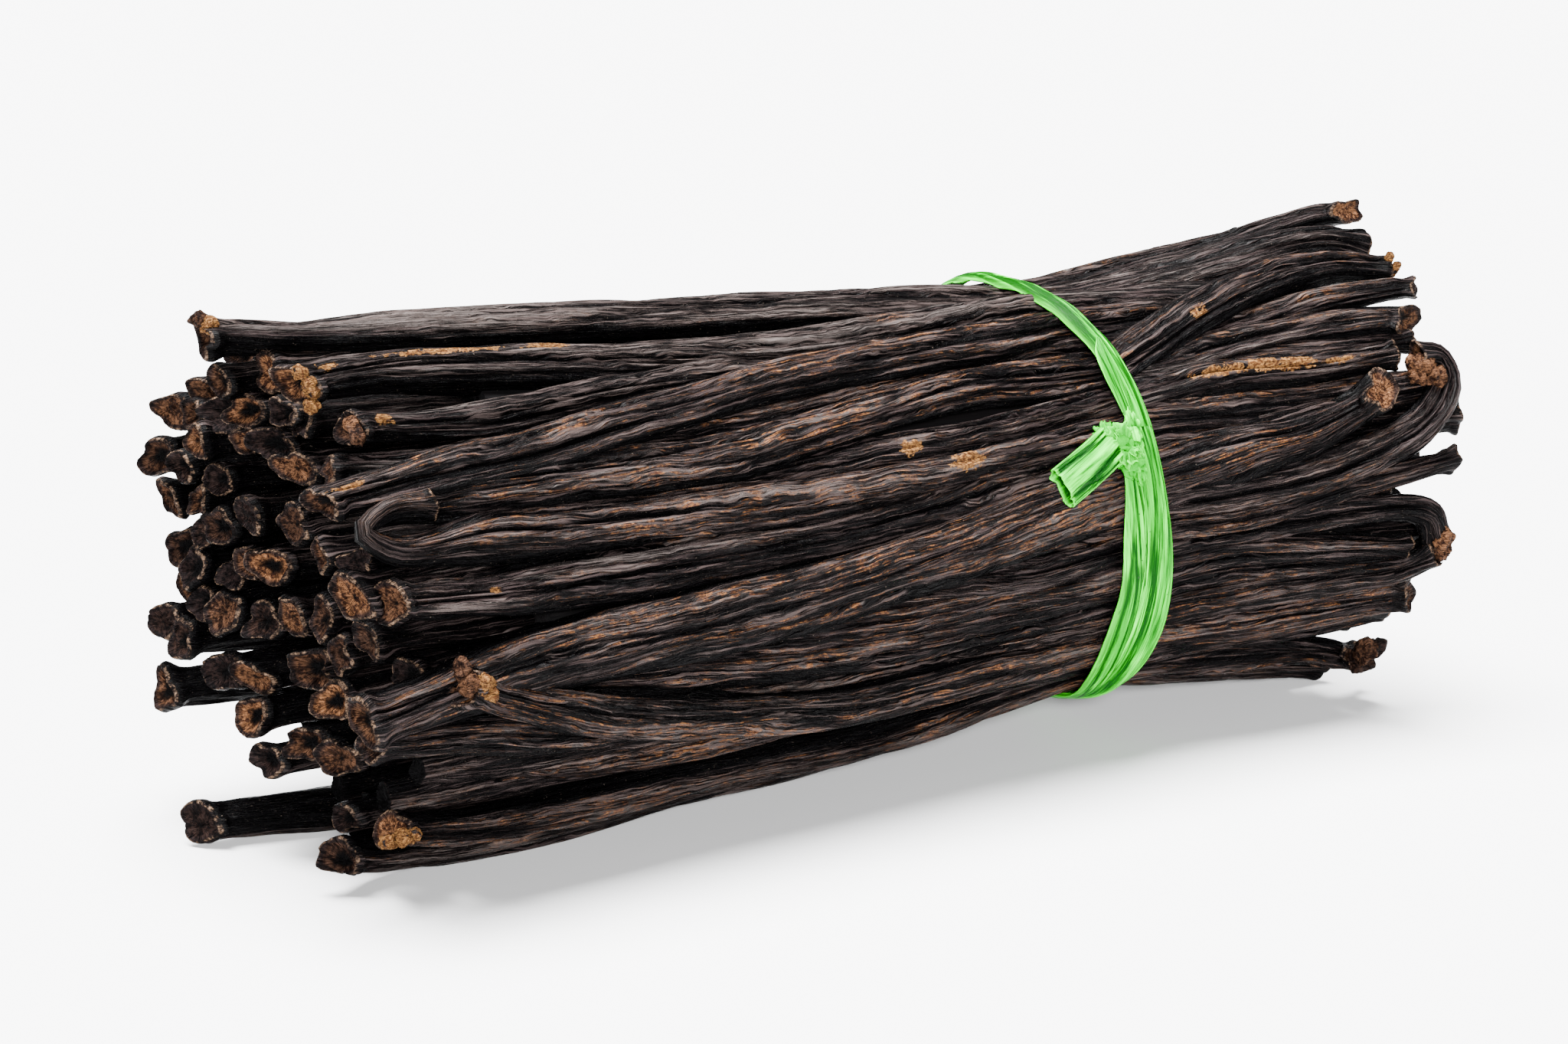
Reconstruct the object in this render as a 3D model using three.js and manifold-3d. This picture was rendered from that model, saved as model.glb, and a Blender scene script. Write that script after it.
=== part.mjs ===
// A hand-tied bundle of cured vanilla pods. Millimetres, +Z up, +X along the pods from their blossom
// ends to their stem ends, origin on the floor under the middle of the bundle.
//
// The bundle is a round sheaf with a waist where the tie squeezes it. Every place on it is given in
// bundle coordinates: x along the sheaf, an angle in degrees round it (0 faces -Y, 90 is the top, -90
// the underside and 180 the +Y side), and how far a pod's outer face is lifted above the sheaf's round.
import * as THREE from "three";
import { mergeVertices } from "three/addons/utils/BufferGeometryUtils.js";
import Module from "manifold-3d";

const wasm = await Module();
wasm.setup();

// Driving dimensions of the sheaf.
const AXIS_HEIGHT = 33.5;
const END_X = 82;
const WAIST_X = 38;
const WAIST_RADIUS = 29;
const LEFT_FLARE = 5.5;
const RIGHT_FLARE = 4.5;
const FLARE_POWER = 1.2;

// Middle of the whole bundle's footprint from the point under the middle of the sheaf's axis.
const FOOTPRINT_CENTRE = { x: 0.75, y: -2.03 };

// Pods.
const POD_FLATNESS = 0.74;
const STUB_LENGTH = 26;
const RING_SPACING = 24;
const SURFACE_SIDES = 6;
const INNER_SIDES = 5;
const CUP_DEPTH = 0.9;
const SECTION_FIT = 1.04;
const UNEVENNESS = 0.12;
const TWIST = 0.5;
const SEED = 41;

// The tie.
const TIE_CLEARANCE = 0.3;
const TIE_THICKNESS = 0.9;
const TIE_RADIUS = 30.2;
const TIE_EDGE_SHARE = 0.86;
const TIE_STEPS = 56;

// The core stops short of the pods' tips, so that the ends stay open between them.
const CORE_LEFT = -66;
const CORE_RIGHT = 70;
const CORE_DEPTH = 2.6;
const CORE_SIDES = 16;
const CORE_STEPS = 4;

// Each end form lists [distance from the tip, share of the pod's full width].
const END_FORMS = {
  bone: [[0, 0.84], [1.4, 0.64], [7, 0.72], [22, 1]],
  longNeck: [[0, 0.72], [1.8, 0.52], [11, 0.54], [24, 1]],
  stem: [[0, 0.74], [1.6, 0.64], [20, 0.92], [34, 1]],
  hook: [[0, 0.52], [1.6, 0.44], [5, 0.44], [8.5, 0.44], [12, 0.46], [16, 0.6], [30, 1]],
  curl: [[0, 0.86], [1.6, 0.78], [4, 0.78], [7, 0.78], [11, 0.78], [30, 1]],
  buried: [[0, 0.5], [14, 1]],
  shortBone: [[0, 0.94], [1.5, 0.7]],
  shortStem: [[0, 0.84]],
  root: [[0, 0.94]],
};

// Pods on the side that faces -Y and on the top, each from its left tip to its right one, as
// [x, angle, lift] rows.
const FACING_PODS = [
  { width: 5.8, left: "bone", right: "stem", route: [
    [-77, 112, -1], [-40, 106, 0], [0, 104, -0.4], [36, 99, -1.6], [62, 93, -1.4], [75, 88, 0.4],
    [87.4, 83.4, 2],
  ] },
  { width: 8.4, left: "longNeck", right: "stem", route: [
    [-86, 96, 2.2], [-73, 93, 1.4], [-30, 88, 1], [16, 88, -0.3], [34, 85, -1.4], [54, 80, -0.6],
    [70, 75, 1.8], [78, 72, 2.2], [83, 68.6, 1.2],
  ] },
  { width: 7.5, left: "bone", right: "buried", route: [
    [-81, 69, 0], [-68, 67, 0.4], [-30, 63, 0], [0, 66, 0], [34, 73, 0], [60, 67, -1.5], [76, 60, -3],
  ] },
  { width: 5.8, left: "bone", right: "buried", route: [
    [-78, 53, 0], [-62, 51, 0.3], [-40, 55, 0], [-24, 58, -0.6], [0, 62, -2.6],
  ] },
  { width: 5.6, left: "bone", right: "buried", route: [
    [-80, 50, -5.4], [-68, 44, -2], [-52, 46, -2], [-36, 48, -3],
  ] },
  { width: 6.2, left: "bone", right: "buried", route: [
    [-86, 36, 0.4], [-66, 41, 1.4], [-36, 49.5, 2], [-17, 57, 2], [18, 62, 1], [34, 65, 0.2],
    [52, 62, -1.4], [68, 58, -3],
  ] },
  { width: 5, left: "buried", right: "stem", route: [
    [-72, 38, -2.4], [-50, 40, -0.4], [-20, 43, -0.4], [34, 54, -0.6], [50, 51, -1], [70, 52.6, 0],
    [86, 51, 0.4],
  ] },
  { width: 6.4, left: "buried", right: "stem", route: [
    [-78, 35, -3], [-66, 33.6, 0], [-53, 34, 0.8], [-28, 34.5, 0.8], [-17, 37.7, 1],
    [10, 44.7, 0.8], [33, 46, 0.3], [42, 52, 1.4], [50, 60, 2.4], [60, 63, 2.4], [73, 63, 2],
    [83, 57.6, 1.6],
  ] },
  { width: 7.6, left: "hook", right: "stem", route: [
    [-72, 32.4, 1.6], [-78, 32.4, 1.4], [-81.8, 28.4, 1.2], [-78, 23.8, 1], [-66, 24, 0.6],
    [-47, 22.6, 0.4], [0, 23, 0.2], [34, 28, 0], [54, 26, -0.4], [86.5, 25, -0.8],
  ] },
  { width: 5.6, left: "buried", right: "stem", route: [
    [-34, 27, -2.4], [-10, 29.5, -0.2], [10, 31, 0], [34, 35, 0], [48, 37, 0.6], [64, 34.5, 0.6],
    [78, 34, 0],
  ] },
  { width: 6, left: "buried", right: "stem", route: [
    [24, 50, -2], [40, 45, -0.6], [55, 46, 0], [70, 46, 0], [85, 42, 0.4],
  ] },
  { width: 5, left: "buried", right: "stem", route: [
    [26, 41, -2.6], [50, 42, -1], [68, 39.5, -1], [82, 38, -1.6],
  ] },
  { width: 5.4, left: "buried", right: "stem", route: [
    [-62, 17, -2.6], [-30, 17.5, -1.4], [0, 18.5, -0.8], [34, 24, -1], [50, 21, -0.4], [65, 23, -0.6],
    [81, 20, -2],
  ] },
  { width: 7, left: "bone", right: "stem", route: [
    [-80, 13, -0.3], [-60, 11.3, 0.2], [-28, 11.2, 0.2], [0, 13.5, 0], [34, 20, -1.6], [54, 15, -2.4],
    [87, 17, -1],
  ] },
  { width: 9.2, left: "bone", right: "stem", route: [
    [-84, -11, 1.4], [-70, -7, 1.8], [-53, -4.5, 2], [-24, -2, 2], [3, 3.7, 1.8], [34, 11.6, 0.5],
    [50, 16, 1.6], [60, 18, 2], [67, 21.5, 2.4], [72, 25.5, 4.6],
  ] },
  { width: 6.8, left: "bone", right: "stem", route: [
    [-72, -5, 3.4], [-66, -10, 2.8], [-51, -20, 2.2], [-25, -31.5, 1.8], [-10, -37.5, 1.6],
    [12, -38.5, 1], [34, -40, 0.3], [54, -36.8, 0.6], [75, -31.5, 0.8], [81, -31, 0.8],
  ] },
  { width: 7, left: "bone", right: "stem", route: [
    [-82, -17, 0.2], [-70, -19.5, 0.6], [-50, -28, 0], [-30, -32, -1.4], [0, -34, -1.6],
    [34, -31, -0.6], [48, -26.5, 0.2], [68, -24, 0.4], [77, -22, 0.8], [82, -17, 1.4],
  ] },
  { width: 5.4, left: "buried", right: "stem", route: [
    [-52, -15, -2.6], [-15, -20.5, 0], [10, -22, 0], [34, -21, 0], [46, -16.5, 0], [66, -18, 0],
    [77, -19, -1],
  ] },
  { width: 5.4, left: "buried", right: "stem", route: [
    [-42, -10.5, -2.6], [-11, -12.8, 0], [12, -13.4, 0], [34, -13, 0], [47, -10.4, 0.4], [60, -12, 0.4],
    [77, -15, 0],
  ] },
  { width: 5.6, left: "buried", right: "curl", route: [
    [-34, -5, -2.8], [0, -7, -0.6], [16, -8.6, 0], [34, -6.5, 0], [53, -4.5, 0.4], [72, -4, 0.6],
    [79.5, -6.4, 0.8], [82, -14, 0.8],
  ] },
  { width: 5.6, left: "buried", right: "stem", route: [
    [14, -1, -2.6], [34, -1.5, -0.4], [50, -1.5, 0.2], [64, 1.7, 0.2], [84, 6, 0],
  ] },
  { width: 6.2, left: "buried", right: "curl", route: [
    [14, 3, -3], [34, 4.6, -0.2], [50, 5.3, 0.6], [61, 6.5, 0.8], [70, 10, 1], [78.6, 15.5, 1],
    [83.8, 24, 1], [83.4, 29.8, 1.4], [80, 30.8, 2],
  ] },
  { width: 6, left: "buried", right: "stem", route: [
    [-60, -44, -2.6], [-30, -50, -1.4], [0, -52, -1.6], [34, -50, 0], [48, -45, 0.2], [65, -42, 0.2],
    [79, -38, -0.4],
  ] },
  { width: 7.2, left: "bone", right: "bone", route: [
    [-75, -50, 0.4], [-63, -57.5, 1], [-45, -61.5, 1.6], [-22, -64, 2], [0, -67, 2.4], [34, -64.5, 0.2],
    [50, -58.5, 0.4], [68, -55.5, 0.8], [80, -57.4, 2.2],
  ] },
  { width: 7, left: "bone", right: "stem", route: [
    [-80, -60, 0.6], [-72, -66, 1.4], [-58, -69, 2.6], [-34, -72, 2.8], [0, -76, 2.6], [34, -80, 0],
    [60, -78, 0.6], [81, -76, 1.4],
  ] },
  { width: 7, left: "buried", right: "buried", route: [
    [-72, -36, -3], [-50, -39, -2.4], [-20, -43, -2.4], [26, -46, -2.4],
  ] },
  { width: 7, left: "buried", right: "buried", route: [
    [-74, -50, -3.6], [-50, -50, -2.8], [-20, -54, -2.4], [26, -57, -2.4],
  ] },
];

// Pods over the top and down the +Y side to the underside, which lie nearly straight. Tips are
// [x, angle, lift], and the belly and the waist are [angle, lift].
const BELLY_X = -46;
const BACK_PODS = [
  { width: 6.6, tip: [-79, 126, -3], belly: [119, 0], waist: [113, -1.6], end: [80, 104, -1.4] },
  { width: 7.2, tip: [-81.6, 139, -1], belly: [134, 0.4], waist: [127, -1.2], end: [84, 118, -0.6] },
  { width: 7, tip: [-83, 150.5, -3.8], belly: [147, 0], waist: [141, -0.6], end: [80, 133, 0.2] },
  { width: 7.4, tip: [-80.5, 163.5, -3.6], belly: [161, 0.4], waist: [156, 0], end: [85, 148, 0] },
  { width: 7, tip: [-78.6, 178, -4.4], belly: [175, 0], waist: [170, 0], end: [82, 158, 0.8] },
  { width: 7.6, tip: [-78, 188, -5], belly: [189, 0.2], waist: [184, 0], end: [83, 181, 0] },
  { width: 6.8, tip: [-81.6, 197, -3.4], belly: [202, 0.4], waist: [198, 0], end: [79, 195, 0.4] },
  { width: 7.8, tip: [-82.2, 212.5, 0.2], belly: [216, 0.8], waist: [212, 0], end: [84, 210, 0] },
  { width: 7, left: "buried", tip: [-66, 229, -3], belly: [231, 0], waist: [226, 0], end: [81, 225, 0.2] },
  { width: 7.4, left: "buried", tip: [-64, 242, -2], belly: [243, 0], waist: [240, 0], end: [85, 241, 0] },
  { width: 7.2, tip: [-85.2, 250, 0.2], belly: [257, 1.8], waist: [254, 0], end: [79, 256, 1.4] },
  { width: 7, left: "buried", tip: [-68, 267, 0.6], belly: [267, 1], waist: [268, 0], end: [82, 270, 0.8] },
];

// Blossom ends of the pods inside the sheaf, as [x, distance from the axis, angle, width].
const INNER_BLOSSOM_ENDS = [
  [-84, 28.2, 98, 7.2], [-79, 28.8, 90, 7], [-80, 25.6, 79, 6.4], [-82, 26.8, 128, 6.4],
  [-81.5, 24.3, 111, 7], [-81, 24.2, 97, 7.2], [-84, 21.9, 120, 6.6], [-80, 20.4, 102, 5.6],
  [-80.6, 21, 84, 6.8], [-79, 25.4, 72, 6], [-84, 21.8, 137, 6.4], [-80, 20.4, 68, 6.2],
  [-82.4, 17.8, 144, 5.8], [-81, 17.6, 129, 5.6], [-80, 18.6, 164, 6], [-82, 12.8, 141, 7],
  [-80.6, 11.4, 112, 7.4], [-80.4, 14.4, 56, 6.8], [-81.5, 20, 31, 6], [-79, 23.4, 24, 5.4],
  [-81.5, 18.8, 178, 7.4], [-80, 11, 172, 5.6], [-79.4, 7.6, 150, 6.4], [-80.4, 5.2, 82, 7.6],
  [-83, 28.8, 15.6, 7.8], [-81, 17.6, 192, 6.2], [-81.4, 11, 197, 7.4], [-82.4, 22.6, 204, 7],
  [-80.2, 3, 240, 6.8], [-80.2, 6.2, 0, 7], [-79, 12.4, 4, 6.6], [-79, 24, 2, 6.6],
  [-79.4, 11.4, -32, 7.6], [-79, 17, -9, 6.2], [-81, 16.6, 223, 6.4], [-80, 12, 243, 6.2],
  [-81, 15.8, 255, 7.2], [-79.4, 17, -32, 7.4], [-78, 17.6, -74, 6.6], [-77.4, 21.2, -54, 7.4],
  [-74, 24.6, -10, 6.6], [-81, 19.8, -90, 6.6], [-78, 28.2, -58, 6.4],
];

// Stem ends of the pods inside the sheaf lie in rings, as [ring radius, number of pods, first angle].
const INNER_STEM_RINGS = [[24.6, 16, 8], [17, 11, 20], [9.6, 6, 0], [1.6, 1, 0]];
const STEM_END_X = 78;
const STEM_END_SPREAD = 10;
const STEM_ANGLE_SPREAD = 0.3;
const STEM_END_WIDTH = 7.4;
const STEM_WIDTH_SPREAD = 2;

// The tie as [angle, x of its middle, width], with its knot between the first two rows.
const TIE_COURSE = [
  [26, 33.4, 4.4], [15, 33.4, 6.2], [0, 33.8, 7.4], [-15, 34.4, 8.8], [-30, 34.9, 9], [-45, 35.5, 8.8],
  [-62, 36.8, 7], [-80, 38.4, 5.6], [-120, 38.6, 5], [-165, 36.6, 4.4], [-215, 33.4, 3.8],
  [-255, 31, 3.2], [-270, 30.6, 3], [-285, 31.6, 3.8], [-300, 33, 4], [-312, 34.6, 4.4],
  [-322, 34.6, 3.6], [-334, 33.4, 4.4],
];
const KNOT = { x: 29.6, angle: 25.5, radius: 2.7, lift: 1.2, crumple: 0.16 };
const TAIL = {
  reach: -11, turn: -10.5, lift: 4.4, width: 5.6, thickness: 2.1, startShare: 0.66, steps: 5, sides: 8,
};

// Radius of the tie's inner face by angle: it lies lower over the top of the sheaf.
const TIE_RADII = [
  [-300, 29.8], [-270, 28.7], [-245, 28.7], [-200, 29.8], [-150, TIE_RADIUS],
];

// A repeatable draw from 0 to 1.
function random(a, b) {
  const wave = Math.sin(a * 12.9898 + b * 78.233 + SEED) * 43758.5453;
  return wave - Math.floor(wave);
}

function bundleRadius(x) {
  const left = THREE.MathUtils.clamp((WAIST_X - x) / (WAIST_X + END_X), 0, 1);
  const right = THREE.MathUtils.clamp((x - WAIST_X) / (END_X - WAIST_X), 0, 1);
  return WAIST_RADIUS + LEFT_FLARE * left ** FLARE_POWER + RIGHT_FLARE * right ** FLARE_POWER;
}

function outward(angle) {
  const turn = THREE.MathUtils.degToRad(angle);
  return new THREE.Vector3(0, -Math.cos(turn), Math.sin(turn));
}

// The point at a distance from the sheaf's axis.
function roundAxis(x, angle, radius) {
  const point = outward(angle).multiplyScalar(radius);
  return point.add(new THREE.Vector3(x, 0, AXIS_HEIGHT));
}

function onBundle(x, angle, lift) {
  return roundAxis(x, angle, bundleRadius(x) + lift);
}

// The value at a distance in a list of [distance, value] pairs, eased between them.
function eased(pairs, distance) {
  const next = pairs.findIndex((pair) => pair[0] > distance);
  if (next < 0) return pairs.at(-1)[1];
  if (next === 0) return pairs[0][1];
  const [from, low] = pairs[next - 1];
  const [to, high] = pairs[next];
  return low + (high - low) * THREE.MathUtils.smoothstep(distance, from, to);
}

// A smooth line through rows of numbers. Its measure runs along it in about millimetres, once each
// number has been multiplied by its scale.
function smoothLine(rows, scales) {
  const knots = [0];
  for (let i = 1; i < rows.length; i += 1) {
    const step = rows[i].map((value, k) => (value - rows[i - 1][k]) * scales[k]);
    knots.push(knots[i - 1] + Math.hypot(...step));
  }
  const last = rows.length - 1;
  const slopes = rows.map((row, i) => {
    const before = Math.max(i - 1, 0);
    const after = Math.min(i + 1, last);
    return row.map((_, k) => (rows[after][k] - rows[before][k]) / (knots[after] - knots[before]));
  });
  const at = (measure) => {
    const ahead = knots.findIndex((knot) => knot > measure);
    const from = ahead < 0 ? last - 1 : Math.max(ahead - 1, 0);
    const span = knots[from + 1] - knots[from];
    const t = THREE.MathUtils.clamp((measure - knots[from]) / span, 0, 1);
    const rise = t * t * (3 - 2 * t);
    const leaving = t * (1 - t) ** 2 * span;
    const arriving = t * t * (t - 1) * span;
    return rows[from].map((value, k) => {
      const level = value + (rows[from + 1][k] - value) * rise;
      return level + leaving * slopes[from][k] + arriving * slopes[from + 1][k];
    });
  };
  return { length: knots[last], at };
}

function routeLine(route) {
  const arcPerDegree = THREE.MathUtils.degToRad(1) * AXIS_HEIGHT;
  return smoothLine(route, [1, arcPerDegree, 1]);
}

// The faces of a skin over rings that all have as many points, wound to face outwards.
function skinFaces(ringCount, sides, closed) {
  const faces = [];
  const spans = closed ? ringCount : ringCount - 1;
  for (let i = 0; i < spans; i += 1) {
    const next = ((i + 1) % ringCount) * sides;
    for (let k = 0; k < sides; k += 1) {
      const a = i * sides + k;
      const b = i * sides + ((k + 1) % sides);
      const c = next + k;
      const d = next + ((k + 1) % sides);
      faces.push(a, b, c, b, d, c);
    }
  }
  return faces;
}

// A closed geometry from rings of points, with one end point for each end ring.
function ringsGeometry(rings, firstEnd, lastEnd) {
  const sides = rings[0].length;
  const count = rings.length * sides;
  const faces = skinFaces(rings.length, sides, false);
  for (let k = 0; k < sides; k += 1) {
    const next = (k + 1) % sides;
    faces.push(count, next, k);
    faces.push(count + 1, count - sides + k, count - sides + next);
  }
  const geometry = new THREE.BufferGeometry().setFromPoints([...rings.flat(), firstEnd, lastEnd]);
  geometry.setIndex(faces);
  return geometry;
}

function toSolid(geometry) {
  const bare = geometry.clone();
  bare.deleteAttribute("normal");
  bare.deleteAttribute("uv");
  const merged = mergeVertices(bare, 1e-4);
  const vertProperties = Float32Array.from(merged.attributes.position.array);
  const triVerts = Uint32Array.from(merged.index.array);
  return new wasm.Manifold(new wasm.Mesh({ numProp: 3, vertProperties, triVerts }));
}

function toGeometry(solid) {
  const mesh = solid.getMesh();
  const geometry = new THREE.BufferGeometry();
  geometry.setAttribute("position", new THREE.BufferAttribute(Float32Array.from(mesh.vertProperties), 3));
  geometry.setIndex([...mesh.triVerts]);
  return geometry;
}

function joined(solids) {
  return solids.reduce((whole, solid) => whole.add(solid));
}

// The largest outer shell: hollows sealed by the joins are filled and loose scraps dropped.
function largestShell(solid) {
  const shells = solid.decompose();
  return shells.reduce((best, shell) => (shell.volume() > best.volume() ? shell : best));
}

// Distances along a pod at which it gets a ring: close together where the ends change width.
function ringPlaces(pod, length) {
  const shaped = [
    ...END_FORMS[pod.left].map((pair) => pair[0]),
    ...END_FORMS[pod.right].map((pair) => length - pair[0]),
  ];
  const inside = shaped.filter((place) => place > 1 && place < length - 1).sort((a, b) => a - b);
  const places = [0];
  for (const place of [...inside, length]) {
    const start = places.at(-1);
    const parts = Math.ceil((place - start) / RING_SPACING);
    for (let i = 1; i <= parts; i += 1) {
      places.push(start + ((place - start) * i) / parts);
    }
  }
  return places;
}

// One pod: a flattened, slightly uneven sweep with a shallow cup in each end.
function podSolid(pod, index, sides) {
  const line = routeLine(pod.route);
  const length = line.length;
  const thickness = pod.width * POD_FLATNESS;
  const middle = (place) => {
    const [x, angle, lift] = line.at(THREE.MathUtils.clamp(place, 0, length));
    return onBundle(x, angle, lift - thickness / 2);
  };
  const heading = (place) => middle(place + 1).sub(middle(place - 1)).normalize();
  const places = ringPlaces(pod, length);
  const turnedBy = (random(index, 7) - 0.5) * TWIST;
  const rings = places.map((place, i) => {
    const centre = middle(place);
    const ahead = heading(place);
    const away = outward(line.at(place)[1]);
    const side = new THREE.Vector3().crossVectors(away, ahead).normalize();
    const up = new THREE.Vector3().crossVectors(ahead, side);
    const share = eased(END_FORMS[pod.left], place) * eased(END_FORMS[pod.right], length - place);
    return Array.from({ length: sides }, (_, k) => {
      const turn = (2 * Math.PI * k) / sides + turnedBy;
      const reach = (SECTION_FIT + (random(index, i * sides + k) - 0.5) * UNEVENNESS) / 2;
      const across = Math.cos(turn) * share * pod.width * reach;
      const deep = Math.sin(turn) * Math.sqrt(share) * thickness * reach;
      return centre.clone().addScaledVector(side, across).addScaledVector(up, deep);
    });
  });
  const firstEnd = middle(0).addScaledVector(heading(0), CUP_DEPTH);
  const lastEnd = middle(length).addScaledVector(heading(length), -CUP_DEPTH);
  return toSolid(ringsGeometry(rings, firstEnd, lastEnd));
}

// The end of a pod inside the sheaf, from its tip to where the packed middle hides it.
function innerPod(x, radius, angle, width, isBlossom) {
  const rootX = x + (isBlossom ? STUB_LENGTH : -STUB_LENGTH);
  const half = (width * POD_FLATNESS) / 2;
  const tip = [x, angle, radius + half - bundleRadius(x)];
  const root = [rootX, angle, radius + half - bundleRadius(rootX) - 1];
  if (isBlossom) return { width, left: "shortBone", right: "root", route: [tip, root] };
  return { width, left: "root", right: "shortStem", route: [root, tip] };
}

function backPod({ width, left = "bone", tip, belly, waist, end }) {
  return { width, left, right: "stem", route: [tip, [BELLY_X, ...belly], [WAIST_X, ...waist], end] };
}

function innerPods() {
  const pods = INNER_BLOSSOM_ENDS.map((row) => innerPod(...row, true));
  for (const [radius, count, first] of INNER_STEM_RINGS) {
    for (let i = 0; i < count; i += 1) {
      const draw = (k) => random(pods.length, k) - 0.5;
      const x = STEM_END_X + draw(1) * STEM_END_SPREAD;
      const angle = first + ((i + draw(2) * STEM_ANGLE_SPREAD) * 360) / count;
      const width = STEM_END_WIDTH + draw(3) * STEM_WIDTH_SPREAD;
      pods.push(innerPod(x, radius + draw(4), angle, width, false));
    }
  }
  return pods;
}

// The packed middle of the sheaf, a little under the outer pods' faces.
function coreSolid() {
  const rings = [];
  for (let i = 0; i <= CORE_STEPS; i += 1) {
    const x = THREE.MathUtils.lerp(CORE_LEFT, CORE_RIGHT, i / CORE_STEPS);
    const corner = (_, k) => onBundle(x, (-360 * k) / CORE_SIDES, -CORE_DEPTH);
    rings.push(Array.from({ length: CORE_SIDES }, corner));
  }
  const leftEnd = new THREE.Vector3(CORE_LEFT, 0, AXIS_HEIGHT);
  const rightEnd = new THREE.Vector3(CORE_RIGHT, 0, AXIS_HEIGHT);
  return toSolid(ringsGeometry(rings, leftEnd, rightEnd));
}

// Everything under the floor, so that the lowest pods rest on small flats.
function underFloor() {
  const side = 4 * END_X;
  const geometry = new THREE.BoxGeometry(side, side, AXIS_HEIGHT);
  geometry.translate(0, 0, -AXIS_HEIGHT / 2);
  return toSolid(geometry);
}

// The band of the tie. With extra it is that much larger on every side.
function bandSolid(extra) {
  const [firstAngle, firstX, firstWidth] = TIE_COURSE[0];
  const rows = [...TIE_COURSE, [firstAngle - 360, firstX, firstWidth]];
  const course = smoothLine(rows, [THREE.MathUtils.degToRad(1) * TIE_RADIUS, 1, 1]);
  const rings = [];
  for (let i = 0; i < TIE_STEPS; i += 1) {
    const [angle, x, width] = course.at((course.length * i) / TIE_STEPS);
    const inner = eased(TIE_RADII, angle) - extra;
    const outer = inner + TIE_THICKNESS + 2 * extra;
    const half = width / 2 + extra;
    const shoulder = half * TIE_EDGE_SHARE;
    rings.push([
      roundAxis(x + half, angle, inner),
      roundAxis(x + shoulder, angle, outer),
      roundAxis(x - shoulder, angle, outer),
      roundAxis(x - half, angle, inner),
    ]);
  }
  const geometry = new THREE.BufferGeometry().setFromPoints(rings.flat());
  geometry.setIndex(skinFaces(TIE_STEPS, rings[0].length, true));
  return toSolid(geometry);
}

// The crumpled knot, an uneven lump.
function knotSolid(extra) {
  const geometry = new THREE.IcosahedronGeometry(KNOT.radius + extra, 1);
  const places = geometry.attributes.position;
  for (let i = 0; i < places.count; i += 1) {
    const point = new THREE.Vector3().fromBufferAttribute(places, i);
    const bump = Math.sin(2 * point.x + point.z) * Math.cos(2 * point.y);
    point.multiplyScalar(1 + KNOT.crumple * bump);
    places.setXYZ(i, point.x, point.y, point.z);
  }
  const centre = roundAxis(KNOT.x, KNOT.angle, TIE_RADIUS + KNOT.lift);
  geometry.translate(centre.x, centre.y, centre.z);
  return toSolid(geometry);
}

// The free end of the tie: a flat loop of film that leaves the knot to the left and downwards and
// stands off the pods. Its section is a flat octagon.
function tailSolid(extra) {
  const middle = (t) => {
    const lift = KNOT.lift + (TAIL.lift - KNOT.lift) * t;
    return roundAxis(KNOT.x + TAIL.reach * t, KNOT.angle + TAIL.turn * t, TIE_RADIUS + lift);
  };
  const ahead = middle(1).sub(middle(0)).normalize();
  const rings = [];
  for (let i = 0; i <= TAIL.steps; i += 1) {
    const t = i / TAIL.steps;
    const away = outward(KNOT.angle + TAIL.turn * t);
    const side = new THREE.Vector3().crossVectors(away, ahead).normalize();
    const half = (TAIL.width / 2) * THREE.MathUtils.lerp(TAIL.startShare, 1, t) + extra;
    const deep = (TAIL.thickness / 2) * THREE.MathUtils.lerp(TAIL.startShare, 1, t) + extra;
    rings.push(Array.from({ length: TAIL.sides }, (_, k) => {
      const turn = (2 * Math.PI * (k + 0.5)) / TAIL.sides;
      const across = Math.cos(turn) * half;
      const up = Math.sin(turn) * deep;
      return middle(t).addScaledVector(side, across).addScaledVector(away, up);
    }));
  }
  return toSolid(ringsGeometry(rings, middle(0), middle(1)));
}

function tieSolid(extra) {
  return largestShell(joined([bandSolid(extra), knotSolid(extra), tailSolid(extra)]));
}

function podsSolid() {
  const around = [...FACING_PODS, ...BACK_PODS.map(backPod)];
  const outer = around.map((pod, i) => podSolid(pod, i, SURFACE_SIDES));
  const inner = innerPods().map((pod, i) => podSolid(pod, outer.length + i, INNER_SIDES));
  const whole = joined([coreSolid(), ...outer, ...inner]);
  return largestShell(whole.subtract(underFloor()).subtract(tieSolid(TIE_CLEARANCE)));
}

function namedMesh(name, solid, color, roughness) {
  const material = new THREE.MeshStandardMaterial({ color, roughness, metalness: 0 });
  const mesh = new THREE.Mesh(toGeometry(solid), material);
  mesh.name = name;
  mesh.position.set(-FOOTPRINT_CENTRE.x, -FOOTPRINT_CENTRE.y, 0);
  return mesh;
}

const bundle = new THREE.Group();
bundle.add(namedMesh("vanilla_pods", podsSolid(), 0x2a1f1c, 0.55));
bundle.add(namedMesh("raffia_tie", tieSolid(0), 0x4be04b, 0.35));

export default bundle;
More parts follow.
